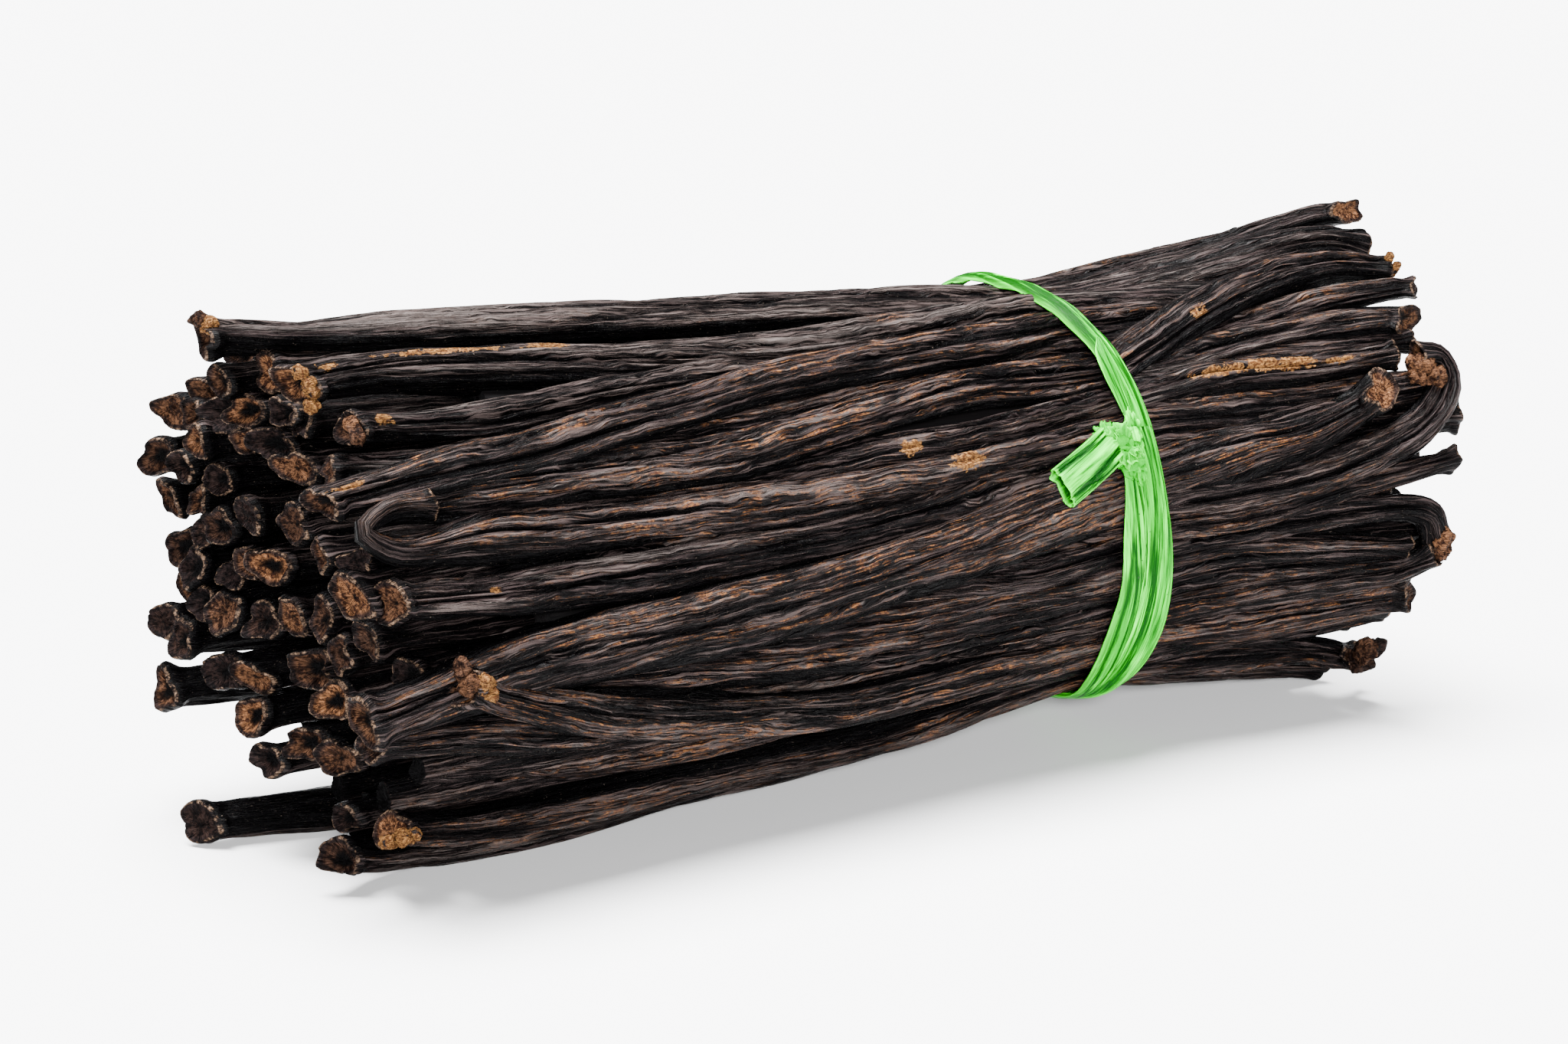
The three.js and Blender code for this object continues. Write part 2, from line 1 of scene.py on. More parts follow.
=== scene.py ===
"""A hand-tied bundle of cured vanilla pods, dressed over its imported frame.

Lengths are in millimetres from the point on the floor under the middle of the sheaf's axis, and
mesh_piece() turns them into metres in the frame. Every place on the sheaf is given as in the part's
source: x along it, an angle in degrees round it (0 faces -Y and 90 is the top), and how far a pod's
outer face is lifted above the sheaf's round.
"""
import math
import bpy
import numpy as np
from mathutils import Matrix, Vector


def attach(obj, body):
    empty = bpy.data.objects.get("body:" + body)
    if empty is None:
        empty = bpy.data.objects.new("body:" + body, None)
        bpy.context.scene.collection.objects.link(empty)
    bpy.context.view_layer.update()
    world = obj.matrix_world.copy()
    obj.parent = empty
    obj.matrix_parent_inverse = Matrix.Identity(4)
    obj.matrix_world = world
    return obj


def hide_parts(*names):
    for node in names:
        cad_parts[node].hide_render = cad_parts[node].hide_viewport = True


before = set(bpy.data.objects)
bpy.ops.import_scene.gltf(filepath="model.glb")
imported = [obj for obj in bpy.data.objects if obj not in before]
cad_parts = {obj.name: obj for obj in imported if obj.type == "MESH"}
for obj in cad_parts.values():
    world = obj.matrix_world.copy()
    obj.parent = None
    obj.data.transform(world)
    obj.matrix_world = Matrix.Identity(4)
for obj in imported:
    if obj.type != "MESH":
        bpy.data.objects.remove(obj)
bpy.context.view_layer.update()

# Sizes of the sheaf and its pods, as in the part's source.
AXIS_HEIGHT = 33.5
END_X = 82
WAIST_X = 38
WAIST_RADIUS = 29
LEFT_FLARE = 5.5
RIGHT_FLARE = 4.5
FLARE_POWER = 1.2
FOOTPRINT_CENTRE = (0.75, -2.03, 0)
POD_FLATNESS = 0.74
STUB_LENGTH = 26
SEED = 41
TIE_RADIUS = 30.2

# Each end form lists [distance from the tip, share of the pod's full width].
END_FORMS = {
    "bone": [[0, 0.72], [0.6, 0.8], [2.4, 0.65], [7, 0.72], [22, 1]],
    "longNeck": [[0, 0.66], [0.7, 0.74], [2.6, 0.53], [11, 0.54], [24, 1]],
    "stem": [[0, 0.74], [1.6, 0.64], [20, 0.92], [34, 1]],
    "cutStem": [[0, 0.56], [3, 0.54], [14, 0.7], [32, 1]],
    "hook": [[0, 0.5], [1.6, 0.4], [5, 0.36], [8.5, 0.36], [12, 0.38], [16, 0.5], [30, 1]],
    "curl": [[0, 0.86], [1.6, 0.78], [11, 0.78], [30, 1]],
    "buried": [[0, 0.5], [14, 1]],
    "shortBone": [[0, 0.78], [0.6, 0.88], [2.6, 0.68], [12, 0.86]],
    "shortStem": [[0, 0.84], [4, 0.8]],
    "root": [[0, 0.94], [1, 0.94]],
}

# The pods that the photograph shows: width, the forms of the left and right end, and a route of
# [x, angle, lift] rows.
FACING_PODS = [
    (5.8, "bone", "stem", [
      [-77, 112, -1], [-40, 106, 0], [0, 104, -0.4], [36, 99, -1.6], [62, 93, -1.4], [75, 88, 0.4],
      [87.4, 83.4, 2],
    ]),
    (8.4, "longNeck", "stem", [
      [-86, 96, 2.2], [-73, 93, 1.4], [-30, 88, 1], [16, 88, -0.3], [34, 85, -1.4], [54, 80, -0.6],
      [70, 75, 1.8], [78, 72, 2.2], [83, 68.6, 1.2],
    ]),
    (7.3, "bone", "buried", [
      [-81, 70, 0], [-71, 71.4, 0.4], [-60, 70.6, 0.4], [-39, 67, 0.2], [-16, 64.6, 0], [0, 66, 0],
      [34, 73, 0], [60, 67, -1.5], [76, 60, -3],
    ]),
    (5.8, "bone", "buried", [
      [-78, 53, 0], [-62, 51, 0.3], [-40, 55, 0], [-24, 58, -0.6], [0, 62, -2.6],
    ]),
    (5.6, "bone", "buried", [
      [-80, 50, -5.4], [-68, 44, -2], [-52, 46, -2], [-36, 48, -3],
    ]),
    (6.2, "bone", "buried", [
      [-86, 36, 0.4], [-68, 39.6, 1.4], [-57, 41, 1.8], [-45, 44.4, 2], [-33, 47.2, 2], [-21, 51, 2],
      [-8, 54, 1.8], [5, 56, 1.6], [19, 58.6, 1.2], [34, 62.4, 0.4], [52, 62, -1.4], [68, 58, -3],
    ]),
    (5, "buried", "stem", [
      [-72, 38, -2.4], [-50, 40, -0.4], [-20, 43, -0.4], [34, 54, -0.6], [50, 51, -1], [70, 52.6, 0],
      [86, 51, 0.4],
    ]),
    (6.4, "buried", "stem", [
      [-78, 35, -3], [-66, 33.6, 0], [-53, 34, 0.8], [-28, 34.5, 0.8], [-17, 37.7, 1],
      [10, 44.7, 0.8], [33, 46, 0.3], [42, 51, 1.4], [50, 56, 2.4], [60, 60.8, 2.4], [73, 62.6, 2],
      [83, 57.6, 1.6],
    ]),
    (7.6, "hook", "stem", [
      [-72, 32.4, 1.6], [-78, 32.4, 1.4], [-81.8, 28.4, 1.2], [-78, 23.8, 1], [-66, 24, 0.6],
      [-47, 22.6, 0.4], [0, 23, 0.2], [34, 28, 0], [54, 26, -0.4], [86.5, 25, -0.8],
    ]),
    (5.6, "buried", "stem", [
      [-34, 27, -2.4], [-10, 29.5, -0.2], [10, 31, 0], [34, 35, 0], [48, 37, 0.6], [64, 34.5, 0.6],
      [78, 34, 0],
    ]),
    (6, "buried", "stem", [
      [24, 50, -2], [40, 45, -0.6], [55, 46, 0], [70, 46, 0], [82.4, 43, 0.4],
    ]),
    (5, "buried", "stem", [
      [26, 41, -2.6], [50, 42, -1], [68, 39.5, -1], [82, 38, -1.6],
    ]),
    (5.4, "buried", "stem", [
      [-62, 17, -2.6], [-30, 17.5, -1.4], [0, 18.5, -0.8], [34, 24, -1], [50, 21, -0.4], [65, 23, -0.6],
      [81, 20, -2],
    ]),
    (7, "bone", "stem", [
      [-80, 13, -0.3], [-60, 11.3, 0.2], [-28, 11.2, 0.2], [0, 13.5, 0], [34, 20, -1.6], [54, 15, -2.4],
      [87, 17, -1],
    ]),
    (9.2, "bone", "cutStem", [
      [-84, -11, 1.4], [-70, -7, 1.8], [-53, -4.5, 2], [-24, -2, 2], [3, 3.7, 1.8], [34, 11.6, 0.5],
      [50, 16, 1.6], [60, 18, 2], [67, 21.5, 2.4], [72, 25.5, 4.6],
    ]),
    (6.8, "bone", "stem", [
      [-72, -5, 3.4], [-66, -10, 2.8], [-51, -20, 2.2], [-25, -31.5, 1.8], [-10, -37.5, 1.6],
      [12, -38.5, 1], [34, -40, 0.3], [54, -36.8, 0.6], [75, -31.5, 0.8], [81, -31, 0.8],
    ]),
    (7, "bone", "stem", [
      [-82, -17, 0.2], [-70, -19.5, 0.6], [-50, -28, 0], [-30, -32, -1.4], [0, -34, -1.6],
      [34, -31, -0.6], [48, -26.5, 0.2], [68, -24, 0.4], [77, -22, 0.8], [82, -17, 1.4],
    ]),
    (5.4, "buried", "stem", [
      [-52, -15, -2.6], [-15, -20.5, 0], [10, -22, 0], [34, -21, 0], [46, -16.5, 0], [66, -18, 0],
      [77, -19, -1],
    ]),
    (5.4, "buried", "stem", [
      [-42, -10.5, -2.6], [-11, -12.8, 0], [12, -13.4, 0], [34, -13, 0], [47, -10.4, 0.4], [60, -12, 0.4],
      [77, -15, 0],
    ]),
    (5.6, "buried", "curl", [
      [-34, -5, -2.8], [0, -7, -0.6], [16, -8.6, 0], [34, -6.5, 0], [53, -4.5, 0.4], [72, -4, 0.6],
      [79.5, -6.4, 0.8], [82, -14, 0.8],
    ]),
    (5.6, "buried", "stem", [
      [14, -1, -2.6], [34, -1.5, -0.4], [50, -1.5, 0.2], [64, 1.7, 0.2], [84, 6, 0],
    ]),
    (6.2, "buried", "curl", [
      [14, 3, -3], [34, 4.6, -0.2], [50, 5.3, 0.6], [61, 6.5, 0.8], [70, 10, 1], [78.6, 15.5, 1],
      [83.8, 24, 1], [83.4, 29.8, 1.4], [80, 30.8, 2],
    ]),
    (6, "buried", "stem", [
      [-60, -44, -2.6], [-30, -50, -1.4], [0, -52, -1.6], [34, -50, 0], [48, -45, 0.2], [65, -42, 0.2],
      [79, -38, -0.4],
    ]),
    (7.2, "bone", "bone", [
      [-75, -50, 0.4], [-63, -57.5, 1], [-45, -61.5, 1.6], [-22, -64, 2], [0, -67, 2.4], [34, -64.5, 0.2],
      [50, -58.5, 0.4], [68, -55.5, 0.8], [80, -57.4, 2.2],
    ]),
    (7, "bone", "stem", [
      [-80, -60, 0.6], [-72, -66, 1.4], [-58, -69, 2.6], [-34, -72, 2.8], [0, -76, 2.6], [34, -80, 0],
      [60, -78, 0.6], [81, -76, 1.4],
    ]),
    (7, "buried", "buried", [
      [-72, -36, -3], [-50, -39, -2.4], [-20, -43, -2.4], [26, -46, -2.4],
    ]),
    (7, "buried", "buried", [
      [-74, -50, -3.6], [-50, -50, -2.8], [-20, -54, -2.4], [26, -57, -2.4],
    ]),
]

# The pods over the top and down the back: width, form of the left end, [x, angle, lift] of the tip,
# [angle, lift] at the belly and at the waist, and [x, angle, lift] of the right end.
BACK_PODS = [
    (6.6, "bone", [-79, 126, -3], [119, 0], [113, -1.6], [80, 104, -1.4]),
    (7.2, "bone", [-81.6, 139, -1], [134, 0.4], [127, -1.2], [84, 118, -0.6]),
    (7, "bone", [-83, 150.5, -3.8], [147, 0], [141, -0.6], [80, 133, 0.2]),
    (7.4, "bone", [-80.5, 163.5, -3.6], [161, 0.4], [156, 0], [85, 148, 0]),
    (7, "bone", [-78.6, 178, -4.4], [175, 0], [170, 0], [82, 158, 0.8]),
    (7.6, "bone", [-78, 188, -5], [189, 0.2], [184, 0], [83, 181, 0]),
    (6.8, "bone", [-81.6, 197, -3.4], [202, 0.4], [198, 0], [79, 195, 0.4]),
    (7.8, "bone", [-82.2, 212.5, 0.2], [216, 0.8], [212, 0], [84, 210, 0]),
    (7, "buried", [-66, 229, -3], [231, 0], [226, 0], [81, 225, 0.2]),
    (7.4, "buried", [-64, 242, -2], [243, 0], [240, 0], [85, 241, 0]),
    (7.2, "bone", [-85.2, 250, 0.2], [257, 1.8], [254, 0], [79, 256, 1.4]),
    (7, "buried", [-68, 267, 0.6], [267, 1], [268, 0], [82, 270, 0.8]),
]

# The blossom ends inside the sheaf: x of the tip, distance from the axis, angle and width.
INNER_BLOSSOM_ENDS = [
    [-84, 28.2, 98, 7.2], [-79, 28.8, 90, 7], [-80, 25.6, 79, 6.4], [-82, 26.8, 128, 6.4],
    [-81.5, 24.3, 111, 7], [-81, 24.2, 97, 7.2], [-84, 21.9, 120, 6.6], [-80, 20.4, 102, 5.6],
    [-80.6, 21, 84, 6.8], [-79, 25.4, 72, 6], [-84, 21.8, 137, 6.4], [-80, 20.4, 68, 6.2],
    [-82.4, 17.8, 144, 5.8], [-81, 17.6, 129, 5.6], [-80, 18.6, 164, 6], [-82, 12.8, 141, 7],
    [-80.6, 11.4, 112, 7.4], [-80.4, 14.4, 56, 6.8], [-81.5, 20, 31, 6], [-79, 23.4, 24, 5.4],
    [-81.5, 18.8, 178, 7.4], [-80, 11, 172, 5.6], [-79.4, 7.6, 150, 6.4], [-80.4, 5.2, 82, 7.6],
    [-83, 28.8, 15.6, 7.8], [-81, 17.6, 192, 6.2], [-81.4, 11, 197, 7.4], [-82.4, 22.6, 204, 7],
    [-80.2, 3, 240, 6.8], [-80.2, 6.2, 0, 7], [-79, 12.4, 4, 6.6], [-79, 24, 2, 6.6],
    [-79.4, 11.4, -32, 7.6], [-79, 17, -9, 6.2], [-81, 16.6, 223, 6.4], [-80, 12, 243, 6.2],
    [-81, 15.8, 255, 7.2], [-79.4, 17, -32, 7.4], [-78, 17.6, -74, 6.6], [-77.4, 21.2, -54, 7.4],
    [-74, 24.6, -10, 6.6], [-81, 19.8, -90, 6.6], [-78, 28.2, -58, 6.4],
]
BELLY_X = -46

# The middle, painted near black as shade: its ends and how deep it lies in the sheaf's round.
MIDDLE_LEFT = -57
MIDDLE_RIGHT = 70
MIDDLE_DEPTH = 3.8
ALONG = np.array([1.0, 0, 0])

# What the colour attributes hold, the lowest that a point may lie, and the room in the UV maps between
# one pod, or sheet of film, and the next.
LAYER_KEYS = {"skin_look": ("ridge", "warm", "scar", "pale"), "tip_look": ("inside", "tone", "rim", "deep")}
FLOOR_GAP = 0.01
UV_SPACING = 60
UV_SHEET_SPACING = 20

# The stem ends inside the sheaf, as rings of [distance from the axis, count, first angle]. The last
# ring is scene.py's own.
INNER_STEM_RINGS = [[24.6, 16, 8], [17, 11, 20], [9.6, 6, 0], [1.6, 1, 0], [27.4, 20, 3]]
STEM_END_X = 78
OUTER_STEMS = 26
SHORT_STUB = 15
STEM_END_SPREAD = 10
STEM_ANGLE_SPREAD = 0.3
STEM_END_WIDTH = 7.4
STEM_WIDTH_SPREAD = 2

# How warm each facing pod's ridges are, and the tone of its left and right end faces: 0 is near
# black, 0.5 brown and 1 orange.
FACING_LOOKS = [
    (0.1, 0.4, 0.9), (0.12, 0.5, 0.3), (0.12, 0.9, 0.3), (0.12, 0.45, 0.3), (0.3, 0.5, 0.3),
    (0.8, 0.5, 0.3), (0.5, 0.3, 0.4), (0.8, 0.3, 0.45), (0.65, 0.55, 0.4), (0.4, 0.3, 0.3),
    (0.45, 0.3, 0.7), (0.45, 0.3, 0.3), (0.3, 0.3, 0.3), (0.35, 0.6, 0.3), (0.85, 0.6, 0.95),
    (0.9, 0.8, 0.5), (0.6, 0.4, 0.4), (0.7, 0.3, 0.3), (0.7, 0.3, 0.3), (0.45, 0.3, 0.5),
    (0.6, 0.3, 0.3), (0.35, 0.3, 0.7), (0.7, 0.3, 0.4), (0.7, 0.9, 0.5), (0.4, 0.35, 0.5),
    (0.3, 0.3, 0.3), (0.3, 0.3, 0.3),
]

# The least and the most of the same looks for a pod at the back, and the tones of the stem ends.
BACK_LOOKS = ([0.1, 0.1, 0.2], [0.5, 0.7, 0.6])
STEM_TONES = (0.1, 0.7)

# How far the right end faces of some facing pods are turned towards -Y and upwards.
RIGHT_TILTS = {0: (1.5, 0.5), 6: (0.9, 0.3), 10: (1.5, 0.3), 14: (1.1, 0.7), 15: (1, 0.2), 23: (1.6, 0.5)}

# Tones of the inner blossom ends' faces, in the order of INNER_BLOSSOM_ENDS.
INNER_TONES = [
    0.5, 0.85, 0.15, 0.55, 0.1, 0.8, 0.75, 0.7, 0.15, 0.1, 0.2, 0.7, 0.55, 0.15, 0.25, 0.35, 0.15,
    0.45, 0.55, 0.1, 0.12, 0.1, 0.6, 1, 0.85, 0.1, 0.55, 0.25, 0.25, 0.75, 0.45, 0.4, 0.55, 0.4,
    0.15, 0.7, 0.95, 1, 0.55, 0.55, 0.1, 0.15, 0.15,
]

# The lengthwise wrinkles from broad to fine: width, length, fewest round a pod, power, height in
# millimetres and the level that counts as none. Then the narrow creases, and how much they all twist
# round the pod in a millimetre.
WRINKLES = [(2.1, 34, 5, 0.6, 0.62, 0.62), (1.05, 17, 6, 0.6, 0.42, 0.6), (0.5, 8, 8, 0.7, 0.2, 0.5)]
CREASE_WIDTHS = (0.16, 0.4)
CREASE_DEPTHS = (0.3, 0.85)
MOST_TWIST = 0.0018

# How far a pod's painted lit side lies from straight outwards, towards its upper side and its front or back,
# and how much of it a face has to be turned to before its ridges show in painted light, and show in full.
LIT_SHIFT = 0.45
LIT_RANGE = (0.06, 0.64)

# Dry scars: pod, x along the sheaf, turn round the pod's section in degrees (90 faces outwards),
# length, width and tone.
SCARS = [
    (2, -61, 84, 16, 1.5, 1), (2, -47, 80, 6, 1.4, 0.95), (2, -77, 96, 3, 2, 0.8),
    (3, -74.6, 90, 2.6, 2.2, 0.95), (5, -83, 74, 5.4, 1.6, 0.85), (9, -2.6, 92, 4, 2, 0.9),
    (8, 5, 82, 5.6, 2.3, 1), (7, 49.5, 116, 3, 2, 0.9), (9, 50, 82, 10, 1.5, 0.8),
    (9, 58.6, 78, 12, 2.1, 0.85), (9, 68, 88, 5, 1.2, 0.75), (13, -66, 80, 1.5, 1, 0.95),
]
SCAR_GROWTH = 1.3
SCAR_HEIGHT = 0.1

# Places where a pod's ridges are warmer than on the rest of it, in the same form.
WARM_SPOTS = [
    (14, 50, 84, 34, 6, 1), (14, -10, 100, 60, 7, 0.4), (7, -18, 82, 26, 5, 0.9), (5, -10, 90, 30, 4, 0.5),
    (8, -40, 110, 40, 6, 0.4), (15, -60, 80, 22, 6, 0.8), (2, 5, 60, 12, 4, 0.8), (16, 45, 80, 30, 5, 0.4),
]

# Places where a pod's ridges are paler or, below 0, darker than on the rest of it, in the same form. On the
# top pods 1 to 3 the paleness is a painted sheen.
PALE_SPOTS = [
    (8, -79, 90, 22, 40, 0.2), (8, -45, 80, 60, 14, 0.1), (5, -60, 90, 70, 12, 0.12),
    (7, -40, 90, 60, 12, 0.1), (14, -40, 80, 110, 14, 0.12), (15, -20, 60, 140, 16, 0.16),
    (16, 10, 60, 140, 16, 0.14),
    (23, -10, 40, 140, 16, 0.16), (24, -10, 40, 140, 16, 0.14), (1, -30, 120, 110, 12, 0.22),
    (2, -30, 120, 130, 12, 0.22), (3, -40, 110, 60, 10, 0.18), (13, -50, 90, 60, 14, -0.12),
    (12, 0, 90, 120, 14, -0.1), (9, 10, 90, 110, 14, -0.08), (18, 0, 90, 120, 14, -0.1),
]


def bundle_radius(x):
    left = np.clip((WAIST_X - x) / (WAIST_X + END_X), 0, 1)
    right = np.clip((x - WAIST_X) / (END_X - WAIST_X), 0, 1)
    return WAIST_RADIUS + LEFT_FLARE * left ** FLARE_POWER + RIGHT_FLARE * right ** FLARE_POWER


def outward(angle):
    turn = np.radians(angle)
    return np.stack([np.zeros_like(turn), -np.cos(turn), np.sin(turn)], -1)


def round_axis(x, angle, radius):
    """The point at a distance from the sheaf's axis."""
    x, angle, radius = np.broadcast_arrays(np.asarray(x, float), angle, radius)
    axis = np.stack([x, np.zeros_like(x), np.full_like(x, AXIS_HEIGHT)], -1)
    return axis + outward(angle) * radius[..., None]


def on_bundle(x, angle, lift):
    return round_axis(x, angle, bundle_radius(x) + lift)


def smoothstep(low, high, value):
    t = np.clip((value - low) / (high - low), 0, 1)
    return t * t * (3 - 2 * t)


def eased(pairs, distance):
    """The value at a distance in a list of [distance, value] pairs, eased between them."""
    places, values = np.array(pairs, float).T
    i = np.clip(np.searchsorted(places, distance, side="right") - 1, 0, len(places) - 2)
    return values[i] + (values[i + 1] - values[i]) * smoothstep(places[i], places[i + 1], distance)


def smooth_line(rows, scales):
    """(length, at): a smooth line through rows of numbers, measured in about millimetres."""
    rows = np.array(rows, float)
    steps = np.diff(rows, axis=0) * np.array(scales)
    knots = np.concatenate([[0], np.cumsum(np.linalg.norm(steps, axis=1))])
    last = len(rows) - 1
    before = np.maximum(np.arange(last + 1) - 1, 0)
    after = np.minimum(np.arange(last + 1) + 1, last)
    slopes = (rows[after] - rows[before]) / (knots[after] - knots[before])[:, None]

    def at(measure):
        measure = np.clip(measure, 0, knots[-1])
        i = np.clip(np.searchsorted(knots, measure, side="right") - 1, 0, last - 1)
        span = knots[i + 1] - knots[i]
        t = ((measure - knots[i]) / span)[:, None]
        span = span[:, None]
        level = rows[i] + (rows[i + 1] - rows[i]) * t * t * (3 - 2 * t)
        leaving = t * (1 - t) ** 2 * span * slopes[i]
        arriving = t * t * (t - 1) * span * slopes[i + 1]
        return level + leaving + arriving

    return knots[-1], at


def unit(vectors):
    return vectors / np.linalg.norm(vectors, axis=-1, keepdims=True)


def lattice_noise(rng, rows, columns, column_cells):
    """Smooth noise from -1 to 1 at fractional rows and columns. It repeats after column_cells."""
    row_floor = np.floor(rows).astype(int)
    column_floor = np.floor(columns).astype(int)
    row_floor -= row_floor.min()
    table = rng.uniform(-1, 1, (row_floor.max() + 2, column_cells))
    down = rows - np.floor(rows)
    across = columns - np.floor(columns)
    down = down * down * (3 - 2 * down)
    across = across * across * (3 - 2 * across)
    first = column_floor % column_cells
    second = (column_floor + 1) % column_cells
    top = table[row_floor, first] * (1 - across) + table[row_floor, second] * across
    low = table[row_floor + 1, first] * (1 - across) + table[row_floor + 1, second] * across
    return top * (1 - down) + low * down


def crossed(rows, columns):
    """Two lines of numbers as grids."""
    return np.meshgrid(rows, columns, indexing="ij")


def ball(centre, axes, sizes, tall, turn, reach):
    """The points of an uneven ball, in rings from one end of its first axis to the other."""
    at = centre
    parts = (np.cos(tall), np.sin(tall) * np.cos(turn), np.sin(tall) * np.sin(turn))
    for part, size, axis in zip(parts, sizes, axes):
        at = at + (part * reach * size)[..., None] * axis
    return at


def ridged(rng, rows, fraction, cells, power):
    """Noise from 0 to 1 round a section with sharp valleys, at rows and fractions of the way round."""
    return np.abs(lattice_noise(rng, rows, fraction * cells, cells)) ** power


def line_noise(rng, places, spacing):
    """Smooth noise from -1 to 1 along a line."""
    return lattice_noise(rng, places / spacing + rng.uniform(0, 1), np.zeros_like(places), 1)


def wobble(rng, turn, low, high):
    """A smooth closed wave round a section, about -1 to 1."""
    total = np.zeros_like(turn)
    for count in range(low, high + 1):
        total = total + rng.uniform(-1, 1) * np.cos(count * turn + rng.uniform(0, 2 * math.pi))
    return total / math.sqrt((high - low + 1) / 1.5)


def wrinkles(rng, places, fraction, girth, creases):
    """Lengthwise relief in millimetres over a grid of places along a pod and fractions round it."""
    down = places[:, None] + np.zeros_like(fraction)
    drift = 0.05 * lattice_noise(rng, down / 26, fraction * 5, 5)
    drift += 0.009 * lattice_noise(rng, down / 7, fraction * 9, 9)
    bent = fraction + drift + rng.uniform(-MOST_TWIST, MOST_TWIST) * down
    broad = 0.3 * lattice_noise(rng, down / 26, bent * 6, 6)
    relief = 0
    for width, length, fewest, power, height, level in WRINKLES:
        folds = ridged(rng, down / length, bent, max(int(round(girth / width)), fewest), power)
        relief = relief + height * (folds - level)
    for number in range(creases):
        course = rng.uniform(0, 1) + 0.05 * line_noise(rng, places, 30) + 0.01 * line_noise(rng, places, 8)
        strength = np.clip(0.5 + 1.3 * line_noise(rng, places, 30), 0, 1)
        away = (fraction - course[:, None] + 0.5) % 1 - 0.5
        width, depth = rng.uniform(*CREASE_WIDTHS), rng.uniform(*CREASE_DEPTHS)
        relief -= depth * strength[:, None] * np.exp(-((away * girth / width) ** 2))
    return broad, relief


# How much painted light the ridges of some pods get, against 1 for the others.
POD_SHADES = {0: 1.14, 1: 1.22, 2: 1.2, 3: 1.16, 14: 1.1, 15: 1.1, 16: 1.1, 23: 1.14, 24: 1.14}
# The light that the painted light and shade on the ridges of the front are drawn for. Then the ridge where
# there is no relief, the relief that adds 1 to it, and what a ridge loses to painted shade and keeps on the
# unlit side.
RIDGE_LIGHT = (-0.2, -0.7, 0.7)
RIDGE_LEVEL = 0.6
FULL_RELIEF = 1.05
UNLIT_LOSS = 0.8
UNLIT_SHARE = 0.05
# How much the ridges are dimmed by painted shade at the right end, and over which x the dimming comes in.
RIGHT_PAINTED_SHADE = 0.1
RIGHT_PAINTED_SHADE_RANGE = (36, 50)
# The most that an end face is slanted, and tilted by RIGHT_TILTS.
MOST_SLANT = 2
MOST_TILT = 4.5
# How far from a shown tip the wrinkles reach their height, and how far the shape of the rim, the slant
# of the end face and the waves of the rim reach. Then where the pale rim and the dimmed ridges end.
TIP_WRINKLES = 3
TIP_SHAPE = 4.5
TIP_SLANT = 5
TIP_WAVES = 2.5
WAVE_HEIGHT = 0.42
RIM_RANGE = (0.05, 0.4)
DIM_START = 0.4
DIM_END = 7
HOOK_DIM_END = 1.5
# The lowest that a pod's side may lie, and how fast its section's lobes turn and grow along it.
LOWEST = 0.03
LOBE_TURN = 30
LOBE_GROWTH = 22
# The depths of the end faces' cups, and of a cut one and a hidden one.
CUP_DEPTHS = (0.3, 1.3)
CUT_DEPTH = 0.3
HIDDEN_DEPTH = 0.1
# A right end face of this tone or more is a flat cut.
CUT_TONE = 0.9

# The rings of an end face, from its outer edge to its middle: share of the edge's radius, how far it
# stands out (negative numbers are inside the cup and are scaled by its depth), and how much each ring
# is inside the cup, on the pale rim and deep in the cup, where it is painted in shade.
FACE_RINGS = [
    [0.98, 0.14, 0.6, 1, 0], [0.91, 0.32, 1, 0.9, 0], [0.82, 0.1, 1, 0.1, 0], [0.72, -0.3, 1, 0, 0.15],
    [0.56, -0.65, 1, 0, 0.4], [0.38, -0.95, 1, 0, 0.8], [0.18, -1, 1, 0, 1],
]
TIP_PLACES = np.array([0, 0.35, 0.7, 1.1, 1.6, 2.2, 2.9, 3.7, 4.6, 5.6, 6.8])


def ring_places(length, left_shown, right_shown, step):
    left = TIP_PLACES if left_shown else TIP_PLACES[:1]
    right = length - TIP_PLACES[::-1] if right_shown else np.array([length])
    count = max(int((right[0] - left[-1]) / step), 2)
    between = np.linspace(left[-1], right[0], count + 1)[1:-1]
    return np.concatenate([left, between, right])


